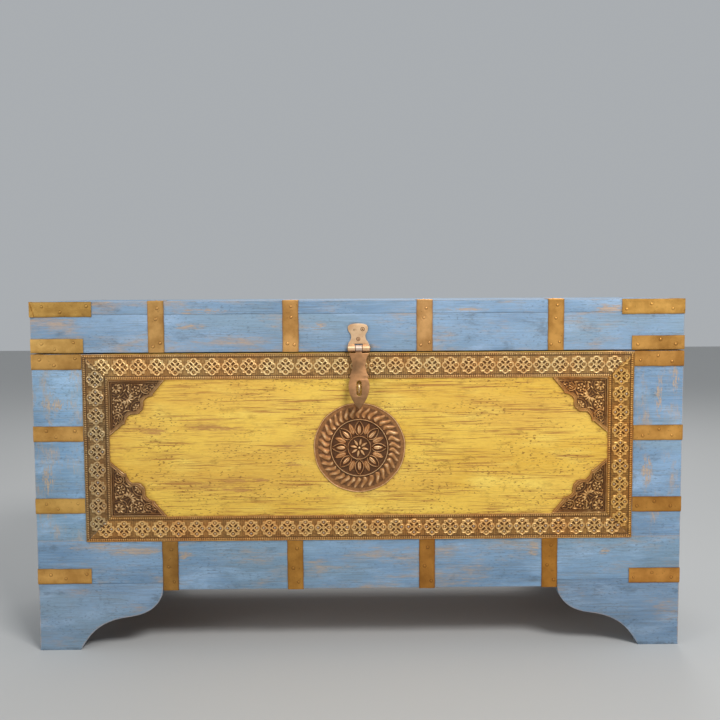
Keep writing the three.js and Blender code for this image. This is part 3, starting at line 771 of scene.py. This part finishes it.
def bent_sheet(build, path, across, width, seed, nails):
    """Brass sheet laid along a bent path on the wood, and nailed down.

    Each nail is given as its length along the path and its share of the way from the middle to an edge.
    """
    places = along_path(path, across)
    rows = [sheet_row(place, out, s, across, width, seed, nails) for place, out, s in places]
    outer = [point for row in rows for point in row]
    inner = []
    for (place, out, _), row in zip(places, rows):
        for edge in (row[0], row[-1]):
            inner.append(place + across * (edge - place).dot(across) + out * SHEET_BACK)
    # Darker towards its edges: grime and painted shade.
    relief = np.interp(np.abs(COLUMNS), [0, 0.7, 0.87, 1], [1.0, 0.95, 0.85, 0.5])
    relief = np.concatenate([np.tile(relief, len(rows)), np.full(len(inner), EDGE_RELIEF)])
    build.add(outer + inner, sheet_faces(len(rows), len(COLUMNS)), relief)

    for i, (nail_s, nail_c) in enumerate(nails):
        place, out, _ = min(places, key=lambda p: abs(p[2] - nail_s))
        spot = place + across * (nail_c * width / 2) + out * (SHEET - NAIL_SINK)
        nail(build, spot, out, NAIL + NAIL_SPREAD * sin(7 * i + seed))


def scattered_nails(rows, jitter, seed):
    """Nails near the given places, each a little off, as they were hammered in by eye."""
    chance = random.Random(seed)
    return [(s + chance.uniform(-jitter, jitter), c + chance.uniform(-0.12, 0.12)) for s, c in rows]


def make_strap(name, body, corners, nails, seed, material):
    """A strap that is bent along (y, z) corners where CAD has it."""
    low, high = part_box(name)
    path = [Vector(((low.x + high.x) / 2, y, z)) for y, z in corners]
    build = Build()
    bent_sheet(build, path, X, high.x - low.x, seed, scattered_nails(nails, 3 * MM, seed))
    build.piece(name + "_sheet", body, material, [name])


def make_lid_straps():
    """Up the lid's front and over onto its top. Each strap's brass has its own tint, with painted light:
    lighter or darker as the light falls on it.
    """
    tints_and_light = ((0.94, 0.96, 1.13), (1.07, 1.04, 1.2), (1.07, 1.07, 1.45), (0.96, 0.89, 0.8))
    front = TOP - LID_BOTTOM
    for number, tint_and_light in enumerate(tints_and_light, 1):
        name = f"lid_strap_{number}"
        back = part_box(name)[1].y
        nails = [(0.012, -0.5), (0.014, 0.55), (front - 0.03, 0.0), (front - 0.012, 0.1)]
        nails.append((front + 0.6 * (back - FRONT), 0.0))
        brass = sheet_brass(f"brass_{name}", "strip", number, tint_and_light)
        make_strap(name, "lid", [(FRONT, LID_BOTTOM), (FRONT, TOP), (back, TOP)], nails, number, brass)


def make_skirt_straps():
    """Forwards under the bottom rail and up its front. Each strap's brass has its own tint, with painted
    light: lighter or darker as the light falls on it.
    """
    tints_and_light = ((0.91, 0.98, 1.14), (1.2, 1.23, 1.2), (1.05, 0.98, 0.91), (1.11, 1.03, 0.83))
    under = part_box("front_bottom_rail")[0].z
    for number, tint_and_light in enumerate(tints_and_light, 1):
        name = f"skirt_strap_{number}"
        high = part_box(name)[1]
        turn = high.y - FRONT
        nails = [(0.4 * turn, 0.0), (turn + 0.012, 0.45), (turn + 0.04, -0.25), (turn + 0.072, 0.15)]
        brass = sheet_brass(f"brass_{name}", "skirt", number, tint_and_light)
        corners = [(high.y, under), (FRONT, under), (FRONT, high.z)]
        make_strap(name, "chest", corners, nails, number + 10, brass)


# How each strip's brass differs from the rest, from the top of the chest down: its tarnish, and painted
# light, lighter or darker as the light falls on each.
STRIP_TINTS_AND_LIGHT = {
    "lid_top": {"left": (0.78, 0.83, 0.78), "right": (1.13, 1.12, 1.0)},
    "lid_bottom": {"left": (0.96, 1.04, 1.11), "right": (0.97, 0.9, 0.81)},
    "case_top": {"left": 0.79, "right": (1.0, 0.9, 0.81)},
    "case_upper": {"left": 0.88, "right": (1.07, 0.99, 0.86)},
    "case_lower": {"left": (0.92, 0.98, 0.94), "right": (0.78, 0.66, 0.48)},
    "case_foot": {"left": 0.95, "right": (0.89, 0.75, 0.6)},
}


def folded_corner(build, corner_x, low, high):
    """A corner of a strip's front leg, turned over and hammered flat."""
    near, far = corner_x - 0.8 * MM, corner_x + 7 * MM
    places = (FRONT - 0.5 * MM, FRONT - 2.4 * MM)
    points = [(x, y, z) for y in places for x, z in ((near, high), (near, low), (far, low))]
    build.add(points, [[0, 1, 2], [3, 4, 5], [0, 1, 4, 3], [1, 2, 5, 4], [2, 0, 3, 5]])


def round_corner(corner, along, z):
    """A path round one of the chest's corners, with the wood on its right, and the lengths of its legs."""
    (x, y), (along_x, along_y) = corner, along
    path = [
        Vector((x - copysign(along_x, x), y, z)),
        Vector((x, y, z)),
        Vector((x, y - copysign(along_y, y), z)),
    ]
    return (path, along) if x * y > 0 else (path[::-1], along[::-1])


def make_corner_strips():
    """The strips at the front corners, and the same again round the back corners, which CAD leaves out."""
    seed = 20
    for place, tints_and_light in STRIP_TINTS_AND_LIGHT.items():
        for side, corner_x in (("left", LEFT), ("right", RIGHT)):
            seed += 1
            name = f"strip_{side}_{place}"
            low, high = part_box(name)
            z = (low.z + high.z) / 2
            along_front, along_side = high.x - low.x - SHEET, high.y - low.y - SHEET
            body = "lid" if place.startswith("lid") else "chest"
            brass = sheet_brass(f"brass_{name}", "strip", seed, tints_and_light[side])
            for where, y, along_x in (("", FRONT, along_front), ("back_", BACK, along_side)):
                path, (first, second) = round_corner((corner_x, y), (along_x, along_side), z)
                nails = [(0.012, 0.35), (0.5 * first, -0.35), (first - 0.018, 0.3), (first + 0.018, -0.3)]
                nails += [(first + 0.5 * second, 0.35), (first + second - 0.012, -0.35)]
                nails = scattered_nails(nails, 5 * MM, seed + len(where))
                build = Build()
                bent_sheet(build, path, Z, high.z - low.z, seed, nails)
                if name == "strip_left_lid_top" and not where:
                    folded_corner(build, corner_x, low.z, high.z)
                build.piece(f"{where}{name}_sheet", body, brass, [] if where else [name])


# ---- embossed relief, in millimetres ----

GROUND = 0.5  # how far the sheet's plain parts stand off the wood


def raised(distance, reach):
    """1 on a line, falling smoothly to 0 at reach from it."""
    t = np.clip(1 - np.abs(distance) / reach, 0, 1)
    return t * t * (3 - 2 * t)


def highest(*heights):
    """The greatest of the heights at each place."""
    result = heights[0]
    for height in heights[1:]:
        result = np.maximum(result, height)
    return result


def leaf(x, y, place, angle, length, width):
    """A smooth oval leaf or petal, from 0 at its edge to 1 along its middle."""
    along = (x - place[0]) * cos(angle) + (y - place[1]) * sin(angle)
    aside = (y - place[1]) * cos(angle) - (x - place[0]) * sin(angle)
    oval = np.clip(1 - (2 * along / length) ** 2 - (2 * aside / width) ** 2, 0, 1)
    return np.sqrt(oval)


def ball(x, y, place, radius):
    return leaf(x, y, place, 0, 2 * radius, 2 * radius)


def flower(x, y, place, count, reach, turn):
    """Oval petals round a ball."""
    parts = [ball(x, y, place, 0.2 * reach)]
    for k in range(count):
        angle = tau * k / count + turn
        middle = (place[0] + 0.62 * reach * cos(angle), place[1] + 0.62 * reach * sin(angle))
        parts.append(leaf(x, y, middle, angle, 0.68 * reach, 2.3 * reach / count))
    return highest(*parts)


def arc(x, y, place, radius, start, end, reach):
    """A ridge along part of a circle, between two angles in degrees."""
    angle = np.degrees(np.arctan2(y - place[1], x - place[0]))
    middle, spread = (start + end) / 2, (end - start) / 2
    off = np.abs((angle - middle + 180) % 360 - 180)
    ring = raised(np.hypot(x - place[0], y - place[1]) - radius, reach)
    return ring * raised(np.maximum(off - spread, 0), 8)


ROSETTE_PITCH = 30.9
UPRIGHT_PHASE = -5.4  # how far the rosettes of the upright sides stand off their middles
MILLING = 3.2  # pitch of the fine milling along the border's edges
MARGIN = 6.8  # width of the milled and ridged edges
PIP_TONE = 1.6  # the relief value that marks the silvered pips, painted grey-blue as a reflection
BORDER_SIDES = {  # the way outwards, across and up, and the tint of the brass with painted light: each side lighter or darker as the light falls on it
    "top": ((0, 1), (0.95, 1.0, 1.03)),
    "bottom": ((0, -1), (0.85, 0.8, 0.69)),
    "left": ((-1, 0), (0.61, 0.66, 0.75)),
    "right": ((1, 0), (0.87, 0.77, 0.5)),
}
BORDER_GRID = 0.8 * MM, 0.7 * MM  # how fine the sheet is made, across and along


def rosette(x, y):
    """An open knot in a square with four round petals: a hollow in each petal, and slots between them.

    Gives the height, where the rosette is, and where its pips are, one in each hollow.
    """
    square, petal_place, petal = 11.2, 9.0, 6.3  # half the square, a petal's middle and its radius
    slot_place, slot_length, slot_width = 6.2, 3.0, 1.6  # along the diagonal, and half the slot's size
    hollow_place, hollow_size = 9.2, 2.9
    pip_place, pip_size = 9.6, 1.7
    along, aside = np.maximum(np.abs(x), np.abs(y)), np.minimum(np.abs(x), np.abs(y))
    edge = np.minimum(along - square, np.hypot(along - petal_place, aside) - petal)
    off_diagonal, out = (along - aside) / sqrt(2), (along + aside) / sqrt(2)
    slot = np.maximum(off_diagonal - slot_width, np.abs(out - slot_place) - slot_length)
    hollow = np.hypot(along - hollow_place, aside) - hollow_size
    wire = highest(raised(edge + 1.1, 1.5), raised(np.minimum(slot, hollow) - 0.8, 1.3))
    holes = np.where(slot < 0, 0.08, np.where(hollow < 0, 0.24, 1))
    pip = ball(along, aside, (pip_place, 0), pip_size)
    knot = highest(0.7 * (edge < 0), wire) * holes * (edge < 1)
    return highest(knot, 0.5 * pip), edge < 0, pip > 0.5


def border_pattern(u, v, width, phase):
    """Height, relief and pips; u runs along a side from its middle, and v inwards from its outer edge."""
    x = (u - phase + ROSETTE_PITCH / 2) % ROSETTE_PITCH - ROSETTE_PITCH / 2
    pattern, within, pips = rosette(x, v - width / 2)
    margin = np.minimum(v, width - v)
    wave = np.cos(tau * u / MILLING)
    lines = highest(raised(margin - 0.6, 0.9), raised(margin - 3.3, 2.8) * (0.5 + 0.5 * wave))
    field = margin > MARGIN
    height = np.where(field, np.where(within, 0.3 + 2.1 * pattern, 0.45 + 0.1 * wave), 0.3 + 1.5 * lines)
    relief = np.where(field, np.where(within, pattern, 0.30 + 0.08 * wave), 0.08 + 0.9 * lines)
    return height, np.clip(relief, 0, 1), field & pips


def make_border():
    """Four mitred sides with hand-cut outer edges. The top's pips are as dull as the rest of it."""
    for name, (away, tint_and_light) in BORDER_SIDES.items():
        node = f"border_{name}"
        low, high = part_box(node)
        middle = (low + high) / 2
        level = name in ("top", "bottom")
        length, width = (high.x - low.x, high.z - low.z) if level else (high.z - low.z, high.x - low.x)
        v, share = np.meshgrid(
            np.linspace(0, width, round(width / BORDER_GRID[0])),
            np.linspace(-1, 1, round(length / BORDER_GRID[1])),
            indexing="ij",
        )
        u = share * (length / 2 - v)
        phase = 0 if level else UPRIGHT_PHASE
        height, relief, pips = border_pattern(u / MM, v / MM, width / MM, phase)
        if name != "top":
            relief = np.where(pips, PIP_TONE, relief)
        mitre = np.clip((length / 2 - v - np.abs(u)) / (1.2 * MM), 0, 1)
        height = GROUND + (height - GROUND) * mitre
        hand_cut = 0.35 * MM * np.sin(u / 0.021 + away[0]) * np.sin(u / 0.057) * (v < 0.5 * MM)
        out = width / 2 - v + hand_cut
        x = middle.x + (u if level else away[0] * out)
        z = middle.z + (away[1] * out if level else u)
        build = Build()
        pressed_sheet(build, x, z, height * MM, relief)
        brass = embossed_metal(f"brass_{node}", "border", 7, tint_and_light)
        build.piece(node + "_sheet", "chest", brass, [node])


SPANDREL_LEG = 94.0  # along each side of the border


def spandrel_reach(angle):
    """How far a spandrel reaches from the border's inner corner, at an angle between its legs."""
    outline = curve_points(
        (SPANDREL_LEG, 0),
        (87, 9, 75, 23),
        (74.5, 26.5),
        (62, 28, 58, 37),
        (59, 52, 53, 53),
    )
    outline = np.concatenate([outline, outline[-2::-1, ::-1]])
    return np.interp(angle, np.arctan2(outline[:, 1], outline[:, 0]), np.hypot(outline[:, 0], outline[:, 1]))


def sprays(x, y, place, turns, reach, length, width):
    """Leaves round a place, each leaning off the way outwards; turns lists their angles and leans."""
    parts = []
    for angle, lean in turns:
        angle = radians(angle)
        middle = (place[0] + reach * cos(angle), place[1] + reach * sin(angle))
        parts.append(leaf(x, y, middle, angle + radians(lean), length, width))
    return highest(*parts)


def spandrel_leaves(x, y):
    """The foliage on one side of a spandrel's diagonal."""
    blossom, near_corner = (46, 17), (13, 13)
    return highest(
        flower(x, y, blossom, 6, 8.5, 0.3),
        sprays(x, y, near_corner, [(k * 45, 10) for k in range(-2, 5)], 6.5, 8.0, 3.4),
        sprays(x, y, blossom, [(60 + 36 * k, 55) for k in range(8)], 12.6, 8.6, 2.9),
        arc(x, y, (63, 14), 8.5, 10, 215, 1.4),
        arc(x, y, (63, 14), 4.6, 40, 300, 1.3),
        sprays(x, y, (63, 14), [(0, 0), (120, 30)], 2.2, 4.6, 2.4),
        sprays(x, y, (77, 10), [(150, 20), (-10, -25), (70, 0)], 3.4, 6.0, 2.4),
        sprays(x, y, (29, 29), [(45 - 24 * k, -12 * k) for k in range(4)], 9.0, 11.5, 3.3),
        sprays(x, y, (30, 13), [(-60, 30), (30, 40), (120, 20)], 5.0, 7.5, 2.9),
        sprays(x, y, (47, 47), [(45 - 50 * k, 0) for k in range(4)], 4.6, 6.2, 3.0),
        sprays(x, y, (53, 36), [(60, 30), (240, 30)], 3.2, 6.2, 2.6),
        ball(x, y, (47, 47), 1.8),
    )


def scrolls(x, y):
    """Vine stems that curl round the flowers and leaves and fill the ground between them."""
    middles = np.array([(46, 17), (17, 46), (13, 13), (50, 50), (70, 12), (12, 70)])
    away = np.stack([np.hypot(x - across, y - along) for across, along in middles])
    across, along = middles[away.argmin(0)].transpose(2, 0, 1)
    turn = np.arctan2(y - along, x - across) / tau
    return raised((away.min(0) / 4.4 - turn) % 1.0 - 0.5, 0.26)


# Each spandrel's tint, with painted light: lighter or darker as the light falls on it.
SPANDREL_TINTS_AND_LIGHT = {
    ("top", "left"): (0.83, 0.92, 1.15),
    ("top", "right"): (1.16, 1.18, 1.12),
    ("bottom", "left"): (0.83, 0.9, 1.08),
    ("bottom", "right"): (0.93, 0.93, 0.87),
}


def spandrel_pattern(x, y, edge):
    """Height and relief: foliage inside a double rim, edge being how far the curved side is."""
    foliage = highest(0.9 * spandrel_leaves(x, y), 0.9 * spandrel_leaves(y, x), 0.55 * scrolls(x, y))
    nearest = np.minimum(x, y)
    clear = raised(np.maximum(6.4 - edge, 0), 1.0) * raised(np.maximum(7.0 - nearest, 0), 1.0)
    rims = highest(raised(edge - 1.1, 1.3), 0.8 * raised(edge - 4.8, 1.2), 0.45 * (edge < 5))
    legs = highest(raised(nearest - 1.2, 1.3), 0.7 * raised(nearest - 4.6, 1.0))
    pattern = highest(foliage * clear, 0.9 * rims, legs)
    beaten = 0.18 * np.sin(x * 2.9) * np.sin(y * 3.1) * clear
    return GROUND + 2.4 * pattern + beaten, np.clip(0.05 + 0.9 * pattern, 0, 1)


def make_spandrels():
    """One pattern, turned to each corner inside the border."""
    share = np.linspace(0, 1, 170)
    across, along = np.meshgrid(share, share, indexing="ij")
    angle = np.arctan2(along, across)
    reach = spandrel_reach(angle)
    r = np.maximum(across, along) * reach
    x, y = r * np.cos(angle), r * np.sin(angle)
    height, relief = spandrel_pattern(x, y, (reach - r) * 0.85)
    for (end, side), tint_and_light in SPANDREL_TINTS_AND_LIGHT.items():
        node = f"spandrel_{end}_{side}"
        low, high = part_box(node)
        corner_x, out = (high.x, 1) if side == "right" else (low.x, -1)
        corner_z, up = (high.z, 1) if end == "top" else (low.z, -1)
        build = Build()
        pressed_sheet(build, corner_x - out * x * MM, corner_z - up * y * MM, height * MM, relief)
        copper = embossed_metal(f"copper_{node}", "spandrel", 8, tint_and_light)
        build.piece(node + "_sheet", "chest", copper, [node])


def petals(r, angle, count, phase, start, end, half):
    """The way aside from the middle of the nearest petal, its half width there, and where petals are."""
    near = (angle / tau * count + phase + 0.5) % 1.0 - 0.5
    t = np.clip((r - start) / (end - start), 0, 1)
    wide = half * (4 * t * (1 - t)) ** 0.8 * (1.2 - 0.4 * t)
    return np.abs(r * np.sin(near * tau / count)), np.maximum(wide, 0.01), (r > start) & (r < end)


def petal_domes(r, angle, count, phase, start, end, half):
    """Rounded petals, 0 at their edges and 1 along their middles."""
    aside, wide, within = petals(r, angle, count, phase, start, end, half)
    return np.sqrt(np.clip(1 - (aside / wide) ** 2, 0, 1)) * within


def medallion_pattern(r, angle):
    """Rim, a ring of S-shaped gadroons, a ring, eight outlined petals with eight small ones, and a flower."""
    gadroons, first, last = 34, 50.5, 70
    t = np.clip((r - first) / (last - first), 0, 1)
    uneven = 0.14 * np.sin(3 * angle) + 0.05 * np.sin(8 * angle + 1)
    sweep = 0.55 * t**2.6 - 0.14 * np.sin(tau * t) + uneven
    turn = (angle / tau * gadroons + sweep) % 1.0 - 0.5
    wide = 0.44 * (4 * t * (1 - t)) ** 0.5 * (1.2 - 0.55 * t) + 0.01
    across = np.clip(turn / wide, -1, 1)
    gadroon = (1 - across**2) ** 0.7 * (0.80 + 0.20 * across) * (t > 0) * (t < 1)

    aside, wide, within = petals(r, angle, 8, 0, 21, 46, 7.2)
    outline = raised(aside - wide, 1.5) * within
    heart = petal_domes(r, angle, 8, 0, 23, 40, 3.7)
    small = petal_domes(r, angle, 8, 0.5, 24, 44.5, 4.6) * (aside > wide + 0.6)
    vein = 0.45 * raised(aside, 0.7)
    notched = 1 - 0.4 * raised((angle / tau * 8) % 1.0 - 0.5, 0.03)
    return highest(
        raised(r - 76.0, 1.3),
        (0.84 + 0.14 * np.sin(5.3 * angle + 9 * t)) * gadroon,
        raised(r - 48.3, 1.4),
        0.95 * outline,
        0.9 * heart - vein * heart,
        0.75 * small * notched,
        raised(r - 19.4, 1.3),
        0.8 * petal_domes(r, angle, 8, 0.25, 4, 16, 2.6),
        np.sqrt(np.clip(1 - (r / 2.6) ** 2, 0, 1)),
    )


def make_medallion():
    """A domed disc, slightly out of round at its rim."""
    low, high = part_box("medallion")
    middle = (low + high) / 2
    radius = (high.x - low.x) / 2 / MM
    count, rings = 420, 120
    r = np.linspace(0.2, radius, rings)
    angle = np.linspace(0, tau, count, endpoint=False)
    r, angle = np.meshgrid(r, angle, indexing="ij")
    pattern = medallion_pattern(r, angle)
    depth = np.interp(r, [0, 50, 58, 68, 72, 77], [3.0, 3.0, 3.2, 2.2, 1.3, 1.3])
    dome = np.interp(r, [0, 46, 70, 77], [2.6, 1.6, 0.8, 0.6])
    height = (dome + depth * pattern) * MM
    wander = 0.009 * np.cos(2 * angle) + 0.006 * np.sin(3 * angle + 1) + 0.004 * np.sin(11 * angle)
    uneven = 1 + wander * (r / radius) ** 6
    x = middle.x + r * uneven * np.cos(angle) * MM
    z = middle.z + r * uneven * np.sin(angle) * MM
    front = np.stack([x, FRONT - height, z], -1).reshape(-1, 3)
    rim = np.stack([x[-1], np.full(count, FRONT), z[-1]], -1)
    index = np.arange(rings * count).reshape(rings, count)
    ahead = np.roll(index, -1, axis=1)
    faces = np.stack([index[:-1], ahead[:-1], ahead[1:], index[1:]], -1).reshape(-1, 4).tolist()
    behind = rings * count + np.arange(count)
    faces += np.stack([index[-1], ahead[-1], np.roll(behind, -1), behind], -1).tolist()
    faces += [index[0].tolist(), behind.tolist()]
    tone = np.interp(r, [0, 48, 52, 69, 71, 77], [0.10, 0.10, 0.20, 0.22, 0.36, 0.36])
    relief = np.concatenate([np.maximum(pattern, tone).reshape(-1), np.full(count, 0.3)])
    build = Build()
    build.add(np.concatenate([front, rim]), faces, relief)
    copper = embossed_metal("medallion_copper", "medallion", 9, glow=0.2)
    build.piece("medallion_sheet", "chest", copper, ["medallion"])


# ---- hasp, staple and hinges ----

KNUCKLE = 5.4 * MM  # radius
BORE = 2.4 * MM
KNUCKLE_HALF = 5.5 * MM  # half the length of the strap's knuckle
KNUCKLE_GAP = 0.8 * MM  # on each side of it
HASP_HALF = 18.5  # half its width, in millimetres as its outlines are
HASP_PLATE = 2 * MM  # thickness
HASP_STRAP = 2.5 * MM  # thickness
PLATE_SLANT = -0.04  # sideways per unit up
HINGE_LEAF = 2 * MM  # thickness
SCREW = 2.6 * MM  # radius of its head


def tube(build, x0, x1, place):
    """A rolled knuckle along X round a pin, with softened ends."""
    soft = 0.5 * MM
    profile = [(x0, BORE), (x0, KNUCKLE - soft), (x0 + soft, KNUCKLE)]
    profile += [(x1 - soft, KNUCKLE), (x1, KNUCKLE - soft), (x1, BORE)]
    lathe(build, profile, [1.0] * 6, place, X, 40)


def rivet(build, place, out, radius):
    """A flat rivet head in a ring of grime and painted shade, with painted shade in the punch mark in its
    middle.
    """
    profile = [(-0.3, 1.4), (0.03, 1.4), (0.05, 1.05), (0.2, 0.95), (0.26, 0.5), (0.12, 0.38), (0.12, 0)]
    stud(build, place, out, radius, profile, [0.3, 0.3, 0.25, 0.0, 0.8, 0.9, 0.0, 0.0], 20)


def make_hasp_plate():
    """The plate on the lid, cut by eye, with its two knuckles and its rivets."""
    axis = Vector(JOINTS["hasp_hinge"]["pos_m"])
    half = HASP_HALF
    top = (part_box("hasp_plate")[1].z - axis.z) / MM
    outline = curve_points(
        (0, top),
        (0.86 * half, top, 0.91 * half, top - 6),
        (0.95 * half, top - 12, 0.7 * half, top - 17),
        (0.58 * half, top - 23, 0.76 * half, top - 29),
        (0.98 * half, top - 33, 0.98 * half, 2),
        (0.98 * half, -1),
        (0.36 * half, -1),
        (0.36 * half, 7.5),
        (0, 7.5),
    )
    slanted = mirrored(outline) @ np.array([[1, 0], [PLATE_SLANT, 1]])
    build = Build()
    cut_plate(build, [slanted], HASP_PLATE, 0.45 * MM, Vector((0, FRONT, axis.z)))
    for side in (-1, 1):
        near, far = sorted((side * (KNUCKLE_HALF + KNUCKLE_GAP), side * half * MM))
        tube(build, near, far, axis)
    for x, z, radius in ((-8, 31, 1.0), (6.5, 32, 2.6), (-1, 15.5, 2.5)):
        rivet(build, Vector((x * MM, FRONT - HASP_PLATE, axis.z + z * MM)), -Y, radius * MM)
    brass = sheet_brass("hasp_plate_brass", "hasp_plate", 11)
    build.piece("hasp_plate_cast", "lid", brass, ["hasp_plate"])


def make_hasp_strap():
    """The strap, whose knuckle is rubbed bright where it turns in the plate, and painted pale as a highlight
    too.
    """
    joint = JOINTS["hasp_hinge"]
    axis = Vector(joint["pos_m"])
    lean = radians(-joint["range_deg"][0])
    half = HASP_HALF
    outline = curve_points(
        (0, -8),
        (0.94 * half, -8),
        (0.6 * half, -19, 0.6 * half, -29),
        (0.6 * half, -39, 0.87 * half, -47),
        (0.76 * half, -50),
        (0.98 * half, -57, 0.95 * half, -68),
        (0.78 * half, -88, 0, -102),
    )
    slot_half, slot_top, slot_bottom = 4.25, -54.5, -80.5
    slot = []
    for end, up in ((slot_top, 1), (slot_bottom, -1)):
        for angle in np.radians(np.linspace(0, 180, 13)):
            rise = slot_half * sin(angle) - slot_half
            slot.append((up * slot_half * cos(angle), end + up * rise))
    tab = curve_points((0, -9), (5.5, -9), (5.5, -2), (0, -2))
    back = Vector((0, HASP_STRAP, 0))
    build = Build()
    cut_plate(build, [mirrored(outline), np.array(slot)], HASP_STRAP, 0.5 * MM, back)
    cut_plate(build, [mirrored(tab)], HASP_STRAP, 0.3 * MM, back)
    turn = Matrix.Translation(axis) @ Matrix.Rotation(-lean, 4, "X")
    build.points = [np.array([turn @ Vector(point) for point in points]) for points in build.points]
    worn = sheet_brass("hasp_strap_brass", "hasp_strap", 13)
    build.piece("hasp_strap_cast", "hasp", worn, ["hasp_strap"])
    build = Build()
    tube(build, -KNUCKLE_HALF, KNUCKLE_HALF, axis)
    # Pale brass for the knuckle: rubbed brass and a painted highlight.
    rubbed = sheet_brass("hasp_knuckle_brass", "hasp_knuckle", 12)
    build.piece("hasp_strap_knuckle", "hasp", rubbed)


def make_screws():
    """Domed screws in the hinge leaves on the back."""
    brass = sheet_brass("screw_brass", "strip", 3)
    inset, stagger = 9 * MM, 3 * MM
    for leaf_name, body in (("case_leaf", "chest"), ("lid_leaf", "lid")):
        build = Build()
        for side in SIDES:
            low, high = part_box(f"hinge_{side}_{leaf_name}")
            z = low.z + inset if body == "chest" else high.z - inset
            for share, rise in ((0.15, 0), (0.5, stagger), (0.85, 0)):
                spot = Vector((low.x + share * (high.x - low.x), BACK + HINGE_LEAF, z + rise))
                nail(build, spot, Y, SCREW)
        build.piece(f"hinge_screws_{body}", body, brass)


def dress_fittings():
    """The hinges, pins and staple, which stay as CAD made them but for softened edges."""
    hinge = sheet_brass("hinge_brass", "hinge", 14, worked=False)
    # The staple's lighter brass is partly a painted highlight.
    bright = sheet_brass("staple_brass", "staple", 16, worked=False)
    steel = sheet_brass("pin_steel", "steel", 15, worked=False)
    pieces = [(f"hinge_{side}_{part}_leaf", hinge) for side in SIDES for part in ("case", "lid")]
    pieces += [(name, steel) for name in ("hinge_left_pin", "hinge_right_pin", "hasp_pin")]
    for name, metal in pieces:
        soften(dress(name, metal), METAL_EDGE, 50)
    soften(dress("staple", bright), METAL_EDGE, 60)


def main():
    make_camera()
    make_studio()
    dress_woodwork()
    make_lid_straps()
    make_skirt_straps()
    make_corner_strips()
    make_border()
    make_spandrels()
    make_medallion()
    make_hasp_plate()
    make_hasp_strap()
    make_screws()
    dress_fittings()


main()
